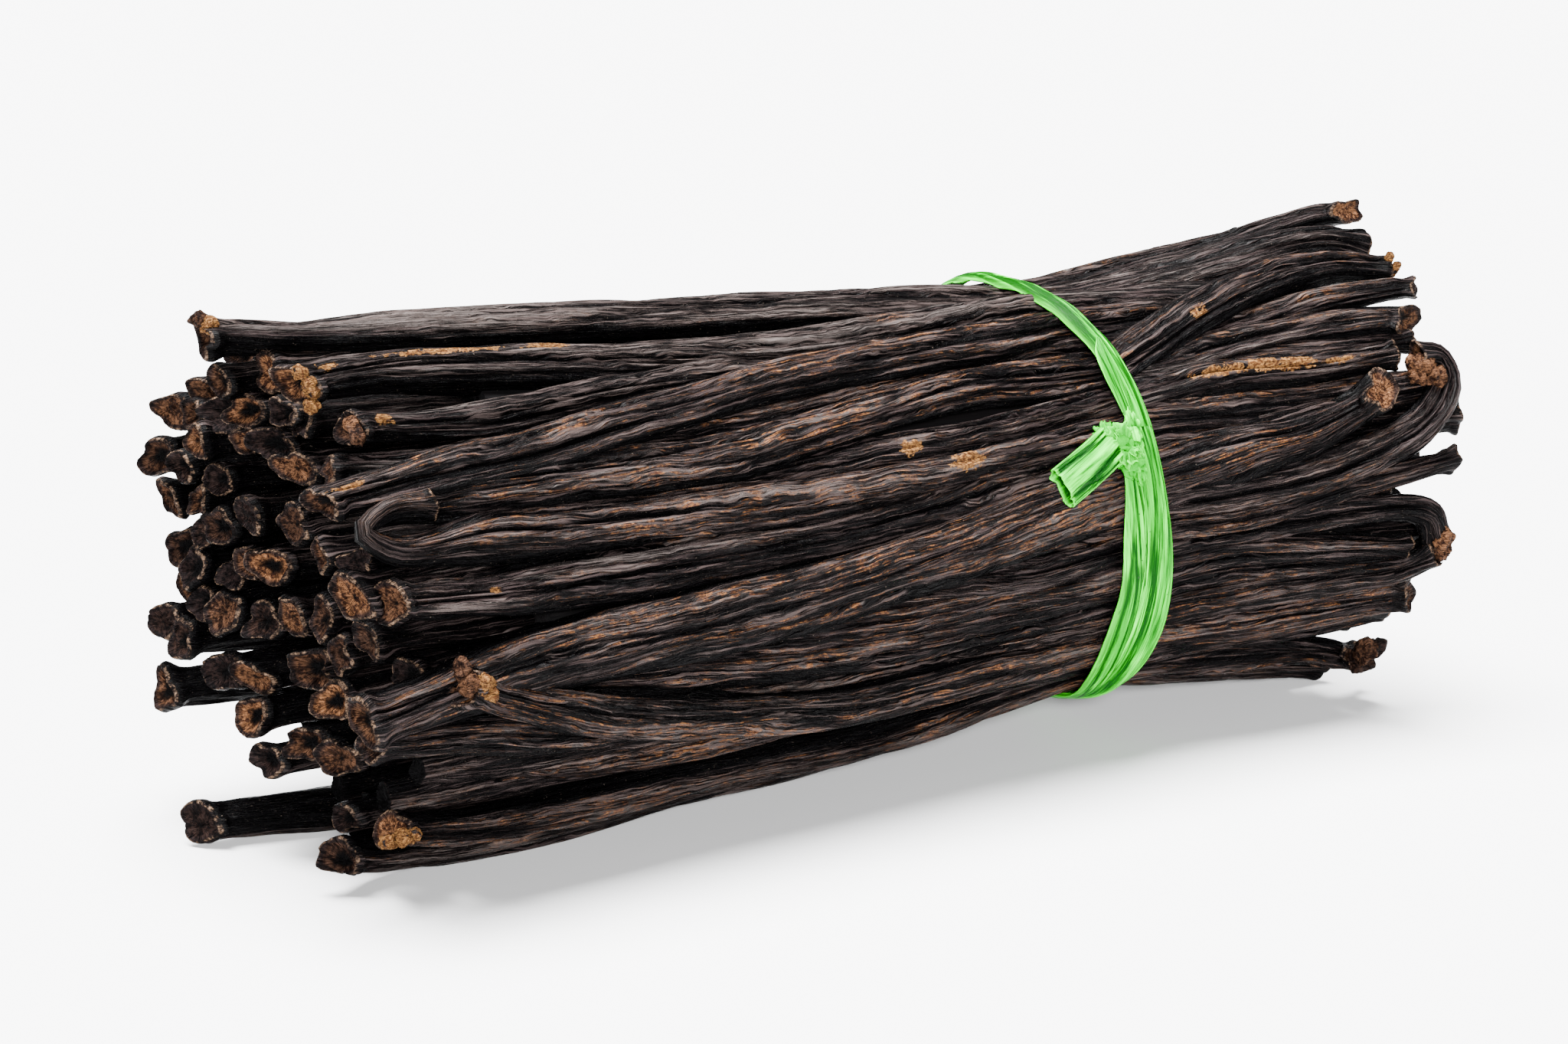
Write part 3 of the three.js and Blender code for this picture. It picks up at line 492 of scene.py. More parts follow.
def pod_grid(pod, number, around, step, looks, creases=15, spread=0.64, shade=1.0):
    """One pod as rows of points, with what its skin needs to know at each point."""
    rng = np.random.default_rng([SEED, number])
    width, *forms, route = pod
    warm, *tones = looks
    shade = POD_SHADES.get(number, shade)
    length, at = smooth_line(route, [1, math.radians(1) * AXIS_HEIGHT, 1])
    thickness = width * POD_FLATNESS

    def middle(measure):
        x, angle, lift = at(measure).T
        return on_bundle(x, angle, lift - thickness / 2)

    shown = [form not in ("buried", "root") for form in forms]
    places = ring_places(length, *shown, step)
    distances = (places, length - places)
    centre = middle(places)
    ahead = unit(middle(np.minimum(places + 1, length)) - middle(np.maximum(places - 1, 0)))
    xs, angles, _ = at(places).T
    side = unit(np.cross(outward(angles), ahead))
    up = np.cross(ahead, side)
    fraction = np.arange(around) / around
    turn = 2 * math.pi * fraction + spread * np.cos(2 * math.pi * fraction)
    cosine, sine = np.cos(turn), np.sin(turn)
    fraction = (turn / (2 * math.pi))[None, :] + np.zeros((len(places), 1))
    share = eased(END_FORMS[forms[0]], places) * eased(END_FORMS[forms[1]], length - places)
    girth = math.pi * (width + thickness) / 2

    lobes = np.zeros((len(places), around))
    for count in (2, 3, 4, 5):
        swing = line_noise(rng, places, LOBE_TURN) * 1.4
        strength = 0.05 * (0.6 + 0.6 * line_noise(rng, places, LOBE_GROWTH))
        lobes += strength[:, None] * np.cos(count * turn[None, :] + rng.uniform(0, 6) + swing[:, None])
    broad, relief = wrinkles(rng, places, fraction, girth, creases)
    relief *= np.minimum(1, 0.25 + share[:, None])
    # Near a shown tip the section follows the uneven rim.
    rims = []
    for is_shown, distance in zip(shown, distances):
        wave = wobble(rng, turn, 2, 4)
        rims.append(wobble(rng, turn, 1, 4))
        if is_shown:
            relief *= (0.25 + 0.75 * smoothstep(0, TIP_WRINKLES, distance))[:, None]
            lobes += 0.2 * wave[None, :] * (1 - smoothstep(0, TIP_SHAPE, distance))[:, None]

    def near(x, turned, long, wide):
        """1 in the middle of a spot on the skin, and 0 where it ends."""
        rising = (np.diff(xs) > 0).all()
        place = np.interp(x, xs, places) if rising else places[np.argmin(np.abs(xs - x))]
        aside = ((fraction - turned / 360 + 0.5) % 1 - 0.5) * girth
        return np.clip(1 - np.hypot((places[:, None] - place) * 2 / long, aside * 2 / wide) ** 2, 0, 1)

    def spots(table, grow=1):
        return [near(x, turned, long * grow, wide * grow) * tone
                for owner, x, turned, long, wide, tone in table if owner == number]

    flat = np.zeros_like(relief)
    scar_mask = np.max([flat, *spots(SCARS, SCAR_GROWTH)], axis=0)
    relief += scar_mask * SCAR_HEIGHT
    push = broad + relief
    across = cosine * (share * width / 2)[:, None] * (1 + lobes) + cosine * push
    deep = sine * (np.sqrt(share) * thickness / 2)[:, None] * (1 + lobes) + sine * push
    body = centre[:, None] + side[:, None] * across[..., None] + up[:, None] * deep[..., None]

    # Painted light and shade: ridges are painted darker in the creases and on faces turned to the middle of
    # the sheaf and down, and lighter on faces turned to the light.
    facing_y = np.clip(2 * np.cos(np.radians(angles)) + 0.9, -1, 1)
    light = np.stack([1 + 0 * facing_y, facing_y, 1 + 0 * facing_y], -1) * RIDGE_LIGHT
    lit = unit(up + LIT_SHIFT * light)
    towards = cosine * (lit * side).sum(-1)[:, None] + sine * (lit * up).sum(-1)[:, None]
    outer = smoothstep(*LIT_RANGE, towards)
    # Painted shade dims the ridges towards the right end.
    shade = shade * (1 - RIGHT_PAINTED_SHADE * smoothstep(*RIGHT_PAINTED_SHADE_RANGE, centre[:, 0]))[:, None]
    ridge = np.clip(RIDGE_LEVEL + relief / FULL_RELIEF, 0, 1) * shade
    ridge = ridge * (UNLIT_SHARE + (1 - UNLIT_SHARE) * outer) - UNLIT_LOSS * (1 - outer)
    body[..., 2] = np.maximum(body[..., 2], LOWEST)
    rows = {"at": body, "ridge": ridge, "warm": sum(spots(WARM_SPOTS), warm + flat), "scar": scar_mask,
            "pale": sum(spots(PALE_SPOTS), flat), "inside": 0 * flat, "rim": 0 * flat, "deep": 0 * flat,
            "tone": tones[0] + flat, "v": places[:, None] + flat}
    for end, distance in enumerate(distances):
        if not shown[end]:
            continue
        rows["rim"] += (1 - smoothstep(*RIM_RANGE, distance))[:, None]
        dim_end = HOOK_DIM_END if forms[end] == "hook" else DIM_END
        rows["ridge"] *= (0.35 + 0.65 * smoothstep(DIM_START, dim_end, distance))[:, None]
        # The face is turned towards -Y or its sides, and its rim is wavy.
        slant = body - centre[:, None]
        tilt = rng.uniform(0, 0.8) if end == 0 else rng.uniform(-0.4, 0.5)
        rise = rng.uniform(-0.35, 0.35)
        most = MOST_SLANT
        if end == 1 and number in RIGHT_TILTS:
            tilt, down = RIGHT_TILTS[number]
            rise, most = -down, MOST_TILT
        out = np.clip(slant[..., 1] * tilt + slant[..., 2] * rise, -most, most)
        out = out * (1 - smoothstep(0, TIP_SLANT, distance))[:, None]
        out += WAVE_HEIGHT * rims[end][None, :] * (1 - smoothstep(0, TIP_WAVES, distance))[:, None]
        body += (-1 if end == 0 else 1) * ahead[:, None] * out[..., None]
    if shown[1]:
        rows["tone"] += (tones[1] - tones[0]) * smoothstep(0.4, 0.6, places / length)[:, None]

    def cap(end):
        """One end's face as rings from its edge inwards, and the point that closes it."""
        index, sign = (0, -1) if end == 0 else (-1, 1)
        facing = sign * ahead[index]
        edge = body[index]
        hub = edge.mean(axis=0)
        cup = rng.uniform(*CUP_DEPTHS) if shown[end] else HIDDEN_DEPTH
        tone = tones[end]
        hollow = np.clip((cup - 0.35) / 0.45, 0.3, 1)
        if end == 1 and tone >= CUT_TONE:
            cup, hollow = CUT_DEPTH, 0
        lump = wobble(rng, turn, 2, 5)
        rings = {key: [] for key in rows}
        for ring, (reach, height, inside, rim, deep) in enumerate(FACE_RINGS):
            stand = height if height > 0 else height * cup
            bump = 0.22 * wobble(rng, turn, 2, 7) * (ring > 3) + 0.08 * wobble(rng, turn, 3, 6)
            stretch = 1 + 0.04 * wobble(rng, turn, 2, 5) + 0.2 * lump * (ring > 2)
            # A hidden end's face is painted all in shade.
            inside, rim, deep = (inside, rim, deep * hollow) if shown[end] else (1, 0, 1)
            values = {"ridge": 0.2 * shade[index, 0], "warm": warm, "scar": 0, "pale": 0,
                      "inside": inside, "rim": rim, "deep": deep, "tone": tone * (1 if ring > 2 else 0.25),
                      "v": places[index] + (ring + 1) * 0.5 * sign}
            points = hub + (edge - hub) * (reach * stretch)[:, None]
            rings["at"].append(points + facing * (stand + bump)[:, None])
            for key, value in values.items():
                rings[key].append(np.full(around, value, float))
        return rings, hub - facing * cup

    (first, first_pole), (last, last_pole) = cap(0), cap(1)
    grid = {key: np.concatenate([first[key][::-1], rows[key], last[key]]) for key in rows}
    return {**grid, "poles": np.array([first_pole, last_pole]), "u": fraction[0] * girth, "girth": girth,
            "number": number}


def placed(name, data):
    """A new object in the scene."""
    thing = bpy.data.objects.new(name, data)
    bpy.context.scene.collection.objects.link(thing)
    return thing


def mesh_piece(name, points, faces, corners, layers, uv, material):
    """A mesh from arrays: points in millimetres, faces as lists of point numbers."""
    mesh = bpy.data.meshes.new(name)
    mesh.vertices.add(len(points))
    metres = (points - np.array(FOOTPRINT_CENTRE)) * 0.001
    mesh.vertices.foreach_set("co", metres.astype(np.float32).ravel())
    mesh.loops.add(len(faces))
    mesh.loops.foreach_set("vertex_index", faces.astype(np.int32))
    mesh.polygons.add(len(corners))
    starts = np.concatenate([[0], np.cumsum(corners)[:-1]])
    mesh.polygons.foreach_set("loop_start", starts.astype(np.int32))
    mesh.polygons.foreach_set("use_smooth", np.ones(len(corners), bool))
    for layer, values in layers.items():
        attribute = mesh.attributes.new(layer, "FLOAT_COLOR", "POINT")
        attribute.data.foreach_set("color", values.astype(np.float32).ravel())
    if uv is not None:
        uv_layer = mesh.uv_layers.new(name="skin")
        uv_layer.data.foreach_set("uv", uv.astype(np.float32).ravel())
    mesh.update(calc_edges=True)
    mesh.validate()
    mesh.materials.append(material)
    return placed(name, mesh)


def tube_faces(rows, around, start=0):
    """The faces of rings of points closed by two poles, and how many corners each face has."""
    index = np.arange(rows * around).reshape(rows, around) + start
    after = np.roll(index, -1, axis=1)
    pole = np.full(around, start + rows * around)
    parts = ([index[:-1], after[:-1], after[1:], index[1:]], [pole, after[0], index[0]],
             [pole + 1, index[-1], after[-1]])
    faces = np.concatenate([np.stack(part, -1).ravel() for part in parts])
    return faces, np.repeat([4, 3], [(rows - 1) * around, 2 * around])


def pods_piece(name, grids, material):
    """All the given pods as one mesh, none of it under the floor."""
    points, faces, corners, uvs = [], [], [], []
    layers = {"skin_look": [], "tip_look": []}
    start = 0
    for grid in grids:
        rows, around = grid["ridge"].shape
        points += [grid["at"].reshape(-1, 3), grid["poles"]]
        grid_faces, grid_corners = tube_faces(rows, around, start)
        faces.append(grid_faces)
        corners.append(grid_corners)
        start += rows * around + 2
        edges = np.append(grid["u"], grid["u"][0] + grid["girth"])
        v = grid["v"] + UV_SPACING * grid["number"]
        low, high = (np.broadcast_to(u, v[1:].shape) for u in (edges[:-1], edges[1:]))
        uvs.append(np.stack([low, v[:-1], high, v[:-1], high, v[1:], low, v[1:]], -1).reshape(-1, 2))
        for row in (v[0], v[-1]):
            uvs.append(np.stack([low[0], row, high[0], row, low[0], row], -1).reshape(-1, 2))
        # Each end's pole, deep in its cup, is painted in shade.
        at_poles = {"skin_look": [[0.2, 0, 0, 0]] * 2,
                    "tip_look": [[1, grid["tone"][pole, 0], 0, 1] for pole in (0, -1)]}
        for layer, keys in LAYER_KEYS.items():
            values = np.stack([grid[key] for key in keys], -1).reshape(-1, 4)
            layers[layer] += [values, np.array(at_poles[layer])]
    layers = {layer: np.concatenate(values) for layer, values in layers.items()}
    points = np.concatenate(points)
    points[:, 2] = np.maximum(points[:, 2], FLOOR_GAP)
    return mesh_piece(name, points, np.concatenate(faces), np.concatenate(corners), layers,
                      np.concatenate(uvs), material)


class Nodes:
    """A material's node tree, built by calls that return sockets."""

    def __init__(self, name):
        self.material = bpy.data.materials.new(name)
        self.material.use_nodes = True
        self.tree = self.material.node_tree

    def add(self, kind, output=0, inputs=(), **settings):
        node = self.tree.nodes.new(kind)
        for key, value in settings.items():
            setattr(node, key, value)
        self.fill(node, dict(inputs))
        return node.outputs[output]

    def fill(self, node, inputs):
        for socket, value in inputs.items():
            if isinstance(value, bpy.types.NodeSocket):
                self.tree.links.new(value, node.inputs[socket])
            else:
                node.inputs[socket].default_value = value

    def maths(self, operation, first, second=0.0, clamp=False):
        return self.add("ShaderNodeMath", 0, {0: first, 1: second}, operation=operation, use_clamp=clamp)

    def plus(self, first, *others):
        for other in others:
            first = self.maths("ADD", first, other)
        return first

    def times(self, first, second, clamp=False):
        return self.maths("MULTIPLY", first, second, clamp)

    def swing(self, noise, size):
        """A noise, which is 0.5 in the middle, as a shift to either side."""
        return self.times(self.maths("SUBTRACT", noise, 0.5), size)

    def lines(self, noise, width):
        """0 along the lines where a noise passes its middle, and 1 off them."""
        return self.steps(self.maths("ABSOLUTE", self.maths("SUBTRACT", noise, 0.5)), 0.0, width)

    def steps(self, value, low, high):
        """0 to 1 while the value goes from low to high."""
        return self.add("ShaderNodeMapRange", 0, {"Value": value, "From Min": low, "From Max": high},
                        interpolation_type="SMOOTHSTEP")

    def mix(self, factor, first, second):
        return self.add("ShaderNodeMix", 2, {0: factor, 6: first, 7: second}, data_type="RGBA")

    def noise(self, vector, scale, detail=3.0, roughness=0.5):
        return self.add("ShaderNodeTexNoise", 0, {"Vector": vector, "Scale": scale, "Detail": detail,
                                                  "Roughness": roughness})

    def vectors(self, operation, first, second):
        return self.add("ShaderNodeVectorMath", 0, {0: first, 1: second}, operation=operation)

    def streaks(self, uv, across, along, detail, roughness=0.5):
        """Noise with its own scale across a pod or strand and along it."""
        return self.noise(self.vectors("MULTIPLY", uv, (across, along, 1)), 1.0, detail, roughness)

    def channels(self, name):
        """The four numbers of a colour attribute."""
        read = self.tree.nodes.new("ShaderNodeAttribute")
        read.attribute_name = name
        apart = self.tree.nodes.new("ShaderNodeSeparateColor")
        self.tree.links.new(read.outputs["Color"], apart.inputs[0])
        return [*apart.outputs, read.outputs["Alpha"]]

    def bump(self, height, distance, normal=None):
        """A finer relief on top of the one that normal holds. The distance is in metres."""
        inputs = {"Height": height, "Distance": distance, "Strength": 1.0}
        if normal is not None:
            inputs["Normal"] = normal
        return self.add("ShaderNodeBump", 0, inputs)

    def finish(self, inputs):
        self.fill(self.tree.nodes["Principled BSDF"], inputs)
        return self.material


# Colours of the pods' skin, scars and end faces: how much red, green and blue each reflects. The crease
# colour is painted shade in creases, gaps and hollows as well as the black of the cracks, the glint is a
# painted highlight, and the pale ridge is paler skin and, on pods given paleness there, a painted sheen.
SKIN = {
    "crease": (0.0004, 0.0003, 0.0004, 1),
    "ridge": (0.0152, 0.0106, 0.0104, 1),
    "pale ridge": (0.026, 0.0193, 0.018, 1),
    "glint": (0.054, 0.0445, 0.0415, 1),
    "red streak": (0.035, 0.011, 0.0055, 1),
    "tan streak": (0.13, 0.052, 0.016, 1),
    "dust": (0.09, 0.07, 0.055, 1),
    "scar low": (0.035, 0.013, 0.0045, 1),
    "scar high": (0.135, 0.064, 0.021, 1),
    "dark face low": (0.0007, 0.0004, 0.0005, 1),
    "dark face high": (0.0078, 0.0048, 0.0047, 1),
    "warm face low": (0.012, 0.004, 0.002, 1),
    "warm face high": (0.13, 0.057, 0.025, 1),
    "rim low": (0.006, 0.0035, 0.0028, 1),
    "rim high": (0.085, 0.053, 0.034, 1),
}


def pod_skin():
    n = Nodes("pod_skin")
    ridge, warm, scar, pale = n.channels("skin_look")
    inside, tone, rim, deep = n.channels("tip_look")
    uv = n.add("ShaderNodeUVMap", 0, uv_map="skin")
    place = n.add("ShaderNodeTexCoord", 3)
    shift = n.plus(n.swing(n.streaks(uv, 0.3, 0.05, 2.0), 1.8), n.swing(n.streaks(uv, 0.45, 0.2, 2.0), 1.0))
    swayed = n.vectors("ADD", uv, n.add("ShaderNodeCombineXYZ", 0, {"X": shift}))
    strands = n.streaks(swayed, 2.2, 0.055, 3.0, 0.55)
    threads = n.streaks(swayed, 3.9, 0.13, 3.0, 0.6)
    breaks = n.streaks(swayed, 1.6, 0.5, 2.0, 0.6)
    furrows = n.streaks(swayed, 1.0, 0.035, 2.0, 0.4)
    patches = n.streaks(uv, 0.24, 0.05, 3.0, 0.55)
    grain = n.noise(place, 2600.0, 4.0, 0.6)
    lumps = n.noise(place, 900.0, 3.0, 0.6)
    specks = n.noise(place, 5200.0, 2.0, 0.5)
    crack = n.times(n.lines(strands, 0.075), n.lines(furrows, 0.075))

    # Ridges in painted light and shade, as the skin layer gives them, with black cracks between them and
    # painted glints on the highest, and on warm pods orange streaks along the ridges.
    height = n.plus(ridge, n.swing(strands, 1.6), n.swing(threads, 1.7))
    paler = n.plus(patches, pale, n.swing(height, 0.35))
    dull = n.mix(n.steps(paler, 0.36, 0.64), SKIN["ridge"], SKIN["pale ridge"])
    # Painted shade: low ridges and creases take the crease colour, along with the black cracks.
    dark = n.mix(n.times(n.steps(height, 0.03, 0.33), crack), SKIN["crease"], dull)
    # Painted highlight on the highest ridges.
    dark = n.mix(n.times(n.steps(height, 0.6, 1.0), 0.55), dark, SKIN["glint"])
    amount = n.plus(n.times(warm, 0.9), n.swing(patches, 1.8))
    streak = n.times(n.steps(height, 0.4, 0.85), n.steps(threads, 0.44, 0.58))
    streak = n.times(streak, n.steps(breaks, 0.42, 0.56))
    streak = n.times(streak, n.steps(amount, 0.1, 1.1), True)
    orange = n.mix(n.steps(grain, 0.4, 0.62), SKIN["red streak"], SKIN["tan streak"])
    skin = n.mix(streak, dark, orange)
    # Painted highlights: glints painted along the threads on the highest ridges.
    painted_shine = n.times(n.steps(threads, 0.58, 0.7), n.steps(height, 0.6, 0.95))
    skin = n.mix(n.times(painted_shine, 0.6), skin, SKIN["glint"])
    skin = n.mix(n.times(n.steps(specks, 0.7, 0.75), 0.6), skin, SKIN["dust"])

    # Shredded scars, then the end faces, with painted shade deep in their cups, and their rims.
    scar_colour = n.mix(n.steps(grain, 0.4, 0.62), SKIN["scar low"], SKIN["scar high"])
    shred = n.plus(n.swing(lumps, 1.2), n.swing(grain, 0.9), n.swing(breaks, 1.4))
    scarred = n.times(n.steps(n.plus(scar, shred), 0.4, 0.56), n.steps(scar, 0.02, 0.1))
    skin = n.mix(scarred, skin, scar_colour)
    mottle = n.steps(n.plus(grain, n.swing(lumps, 0.8)), 0.36, 0.66)
    low_face = n.mix(mottle, SKIN["dark face low"], SKIN["dark face high"])
    high_face = n.mix(mottle, SKIN["warm face low"], SKIN["warm face high"])
    face = n.mix(n.maths("POWER", tone, 2), low_face, high_face)
    # Painted shade deep in the cup.
    face = n.mix(n.steps(deep, 0.3, 0.95), face, SKIN["crease"])
    edge = n.mix(n.steps(grain, 0.4, 0.6), SKIN["rim low"], SKIN["rim high"])
    skin = n.mix(n.steps(inside, 0.2, 0.8), skin, face)
    skin = n.mix(n.times(n.steps(rim, 0.6, 1.0), n.steps(lumps, 0.42, 0.58), True), skin, edge)

    rough = n.plus(0.33, n.swing(threads, 0.6))
    rough = n.maths("ADD", rough, n.times(n.maths("MAXIMUM", scar, inside), 0.3), True)
    relief = n.bump(n.plus(strands, n.times(crack, 0.7)), 0.0007)
    relief = n.bump(grain, 0.00008, n.bump(threads, 0.0004, relief))
    return n.finish({"Base Color": skin, "Roughness": rough, "Normal": relief, "Specular IOR Level": 0.025})


def core_skin():
    n = Nodes("dark_middle")
    place = n.add("ShaderNodeTexCoord", 3)
    grain = n.noise(n.vectors("MULTIPLY", place, (60, 900, 900)), 1.0, 4.0)
    # Painted shade: the middle, seen only in the gaps between pods, is near black.
    skin = n.mix(n.steps(grain, 0.35, 0.65), SKIN["crease"], SKIN["dark face low"])
    return n.finish({"Base Color": skin, "Roughness": 0.8, "Normal": n.bump(grain, 0.0006),
                     "Specular IOR Level": 0.05})


def back_pod(width, form, tip, belly, waist, end):
    return width, form, "stem", [tip, [BELLY_X, *belly], [WAIST_X, *waist], end]


def draw(a, b):
    """The part's own repeatable draw, from 0 to 1."""
    wave = math.sin(a * 12.9898 + b * 78.233 + SEED) * 43758.5453
    return wave - math.floor(wave)


def inner_pod(x, radius, angle, width, is_blossom):
    """The end of a pod inside the sheaf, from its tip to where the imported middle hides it."""
    stub = STUB_LENGTH if is_blossom or radius < OUTER_STEMS else SHORT_STUB
    root_x = x + (stub if is_blossom else -stub)
    half = width * POD_FLATNESS / 2
    tip = [x, angle, radius + half - float(bundle_radius(x))]
    root = [root_x, angle, radius + half - float(bundle_radius(root_x)) - 1]
    if is_blossom:
        return width, "shortBone", "root", [tip, root]
    return width, "root", "shortStem", [root, tip]


def inner_stems():
    pods = []
    number = len(INNER_BLOSSOM_ENDS)
    for radius, count, first in INNER_STEM_RINGS:
        for i in range(count):
            x = STEM_END_X + (draw(number, 1) - 0.5) * STEM_END_SPREAD + (radius > OUTER_STEMS)
            angle = first + (i + (draw(number, 2) - 0.5) * STEM_ANGLE_SPREAD) * 360 / count
            width = STEM_END_WIDTH + (draw(number, 3) - 0.5) * STEM_WIDTH_SPREAD
            pods.append(inner_pod(x, radius + draw(number, 4) - 0.5, angle, width, False))
            number += 1
    return pods


def under_pods():
    """Pods of the second layer, which show in the gaps between the outer ones."""
    pods = []
    count = 26
    for i in range(count):
        angle = (i + 0.5 * draw(i, 11)) * 360 / count
        lift = -3.4 - 0.8 * draw(i, 12)
        low = 255 < angle < 330
        start = -60 + 4 * draw(i, 14) - 9 * low
        route = [[start, angle - 4, lift], [0, angle, lift], [WAIST_X, angle + 2, lift - 0.4],
                 [72, angle, lift]]
        pods.append((7 + 1.4 * draw(i, 13), "buried", "buried", route))
    return pods


def core_piece(material):
    """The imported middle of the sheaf."""
    steps, sides = 40, 96
    x, turns = crossed(np.linspace(MIDDLE_LEFT, MIDDLE_RIGHT, steps), np.arange(sides) * -360 / sides)
    relief = lattice_noise(np.random.default_rng(SEED), x / 30, turns / -360 * 32, 32)
    body = on_bundle(x, turns, 0.5 * relief - MIDDLE_DEPTH)
    poles = [[end, 0, AXIS_HEIGHT] for end in (MIDDLE_LEFT, MIDDLE_RIGHT)]
    points = np.concatenate([body.reshape(-1, 3), poles])
    return mesh_piece("pods_middle", points, *tube_faces(steps, sides), {}, None, material)


skin_material = pod_skin()
# Each pod's number is its seed and its place in the UV map.
facing = [pod_grid(pod, i, around=64, step=1.4, looks=FACING_LOOKS[i]) for i, pod in enumerate(FACING_PODS)]
rng = np.random.default_rng(SEED)
back = [pod_grid(back_pod(*row), 40 + i, around=48, step=1.6, looks=rng.uniform(*BACK_LOOKS))
        for i, row in enumerate(BACK_PODS)]
# The second layer's ridges get a fifth of the painted light, as painted shade in the gaps; the inner ends'
# ridges get a little less of it too.
under = [pod_grid(pod, 60 + i, around=20, step=3.4, looks=(0, 0, 0), creases=6, spread=0.3, shade=0.2)
         for i, pod in enumerate(under_pods())]
blossoms = [pod_grid(inner_pod(*row, True), 100 + i, around=44, step=1.6, looks=(0.1, INNER_TONES[i], 0),
                     creases=10, spread=0, shade=0.7) for i, row in enumerate(INNER_BLOSSOM_ENDS)]
stems = [pod_grid(pod, 200 + i, around=28, step=2, looks=(0.3, 0, rng.uniform(*STEM_TONES)),
                  creases=8, spread=0, shade=0.8) for i, pod in enumerate(inner_stems())]

# Dry lumps of scar at the pods' ends: x along the sheaf, angle round it, distance outside the sheaf's
# round, half length, half width, half height and tone.
LUMPS = [
    (-81, 68.5, -0.6, 0.9, 1.1, 0.9, 1), (-80.4, 66.4, -1.2, 0.9, 1.1, 0.9, 0.95),
    (-80.3, 65, -1.9, 0.9, 1.2, 0.9, 1), (-80.6, 63.4, -3.2, 0.9, 1, 0.9, 0.9),
    (-86, 97.5, 1.3, 1.1, 1.5, 1.1, 0.45), (-85.6, 94.6, 0.8, 0.9, 1.2, 1, 0.8),
    (-78.2, 50.4, -1.4, 1, 1.6, 0.9, 0.5), (-78.4, 53, -1.2, 1, 1, 0.8, 0.7),
    (-72.2, -1.6, 1.1, 1.2, 1.4, 1.3, 0.5), (-72, -4.4, 2.3, 1.3, 1.3, 1.1, 0.6),
    (-70, -4.6, 2.6, 1.3, 1.5, 1.2, 1), (-69.2, -6.8, 2.4, 1, 1, 1, 0.9),
    (-76.8, -46, 0, 1, 0.9, 1, 1), (-74.7, -46, -0.1, 1.1, 0.9, 1.1, 1), (-73.1, -45.6, 0, 0.9, 1, 0.9, 1),
    (-75.8, -48, -0.2, 0.8, 1, 0.9, 0.95), (-73, -47.4, 0, 0.8, 0.9, 0.8, 0.9),
    (83.2, 55.4, 0.3, 0.8, 0.7, 1.5, 0.9), (82.8, 58, 0.8, 0.7, 0.7, 1.2, 0.85),
    (80.4, 29.6, 0.4, 1.7, 1.5, 1.2, 0.74), (79, 27.6, 0.2, 1.4, 1.4, 1.1, 0.7),
    (81.6, 26.4, 0.2, 1.5, 1.6, 1.1, 0.66), (78.6, 30, 0.6, 1.1, 1.3, 1, 0.74),
    (82, -12.6, -0.1, 1.5, 1.6, 1.4, 0.74), (82.4, -16, -0.3, 1.5, 1.7, 1.3, 0.6),
    (78.8, -51, 0, 1.6, 2, 1.6, 0.5), (79.6, -55.4, 0.6, 1.9, 2, 1.7, 0.3),
    (81, -51.6, -0.6, 1.3, 2, 1.4, 0.15),
]


def lump_grid(number, x, angle, lift, long, wide, high, tone):
    """A small uneven lump with the layers of a pod's skin."""
    rng = np.random.default_rng([SEED, 700 + number])
    away = outward(angle)
    rows, around = 16, 24
    tall, turn = crossed(np.linspace(0.15, math.pi - 0.15, rows), 2 * math.pi * np.arange(around) / around)
    crag = lattice_noise(rng, tall * 1.6, turn / (2 * math.pi) * 6, 6)
    crag += 0.5 * lattice_noise(rng, tall * 4, turn / (2 * math.pi) * 13, 13)
    centre = on_bundle(x, angle, lift)
    at = ball(centre, (ALONG, np.cross(away, ALONG), away), (long, wide, high), tall, turn, 1 + 0.34 * crag)
    flat = np.zeros((rows, around))
    is_scar = tone > 0.75
    # Hollows between the crags are painted in shade.
    return {"at": at[::-1], "ridge": 0.5 + flat, "scar": flat + is_scar * (1 + 0.7 * crag), "pale": flat,
            "inside": flat + (not is_scar), "rim": flat, "deep": 0.35 * (crag < -0.35), "tone": tone + flat,
            "warm": 0.5 + flat, "v": np.cumsum(flat + 0.5, axis=0), "u": np.arange(around) * 0.4,
            "girth": around * 0.4, "poles": np.array([centre - ALONG * long, centre + ALONG * long]),
            "number": 300 + number}


lumps = [lump_grid(number, *row) for number, row in enumerate(LUMPS)]
pod_pieces = [
    pods_piece("pods_scars", lumps, skin_material),
    pods_piece("pods_top", facing[:9], skin_material),
    pods_piece("pods_front", facing[9:18], skin_material),
    pods_piece("pods_low", facing[18:], skin_material),
    pods_piece("pods_back", back, skin_material),
    pods_piece("pods_under", under, skin_material),
    pods_piece("pods_blossom_ends", blossoms, skin_material),
    pods_piece("pods_stem_ends", stems, skin_material),
    core_piece(core_skin()),
]
for piece in pod_pieces:
    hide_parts("vanilla_pods")
    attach(piece, "root")


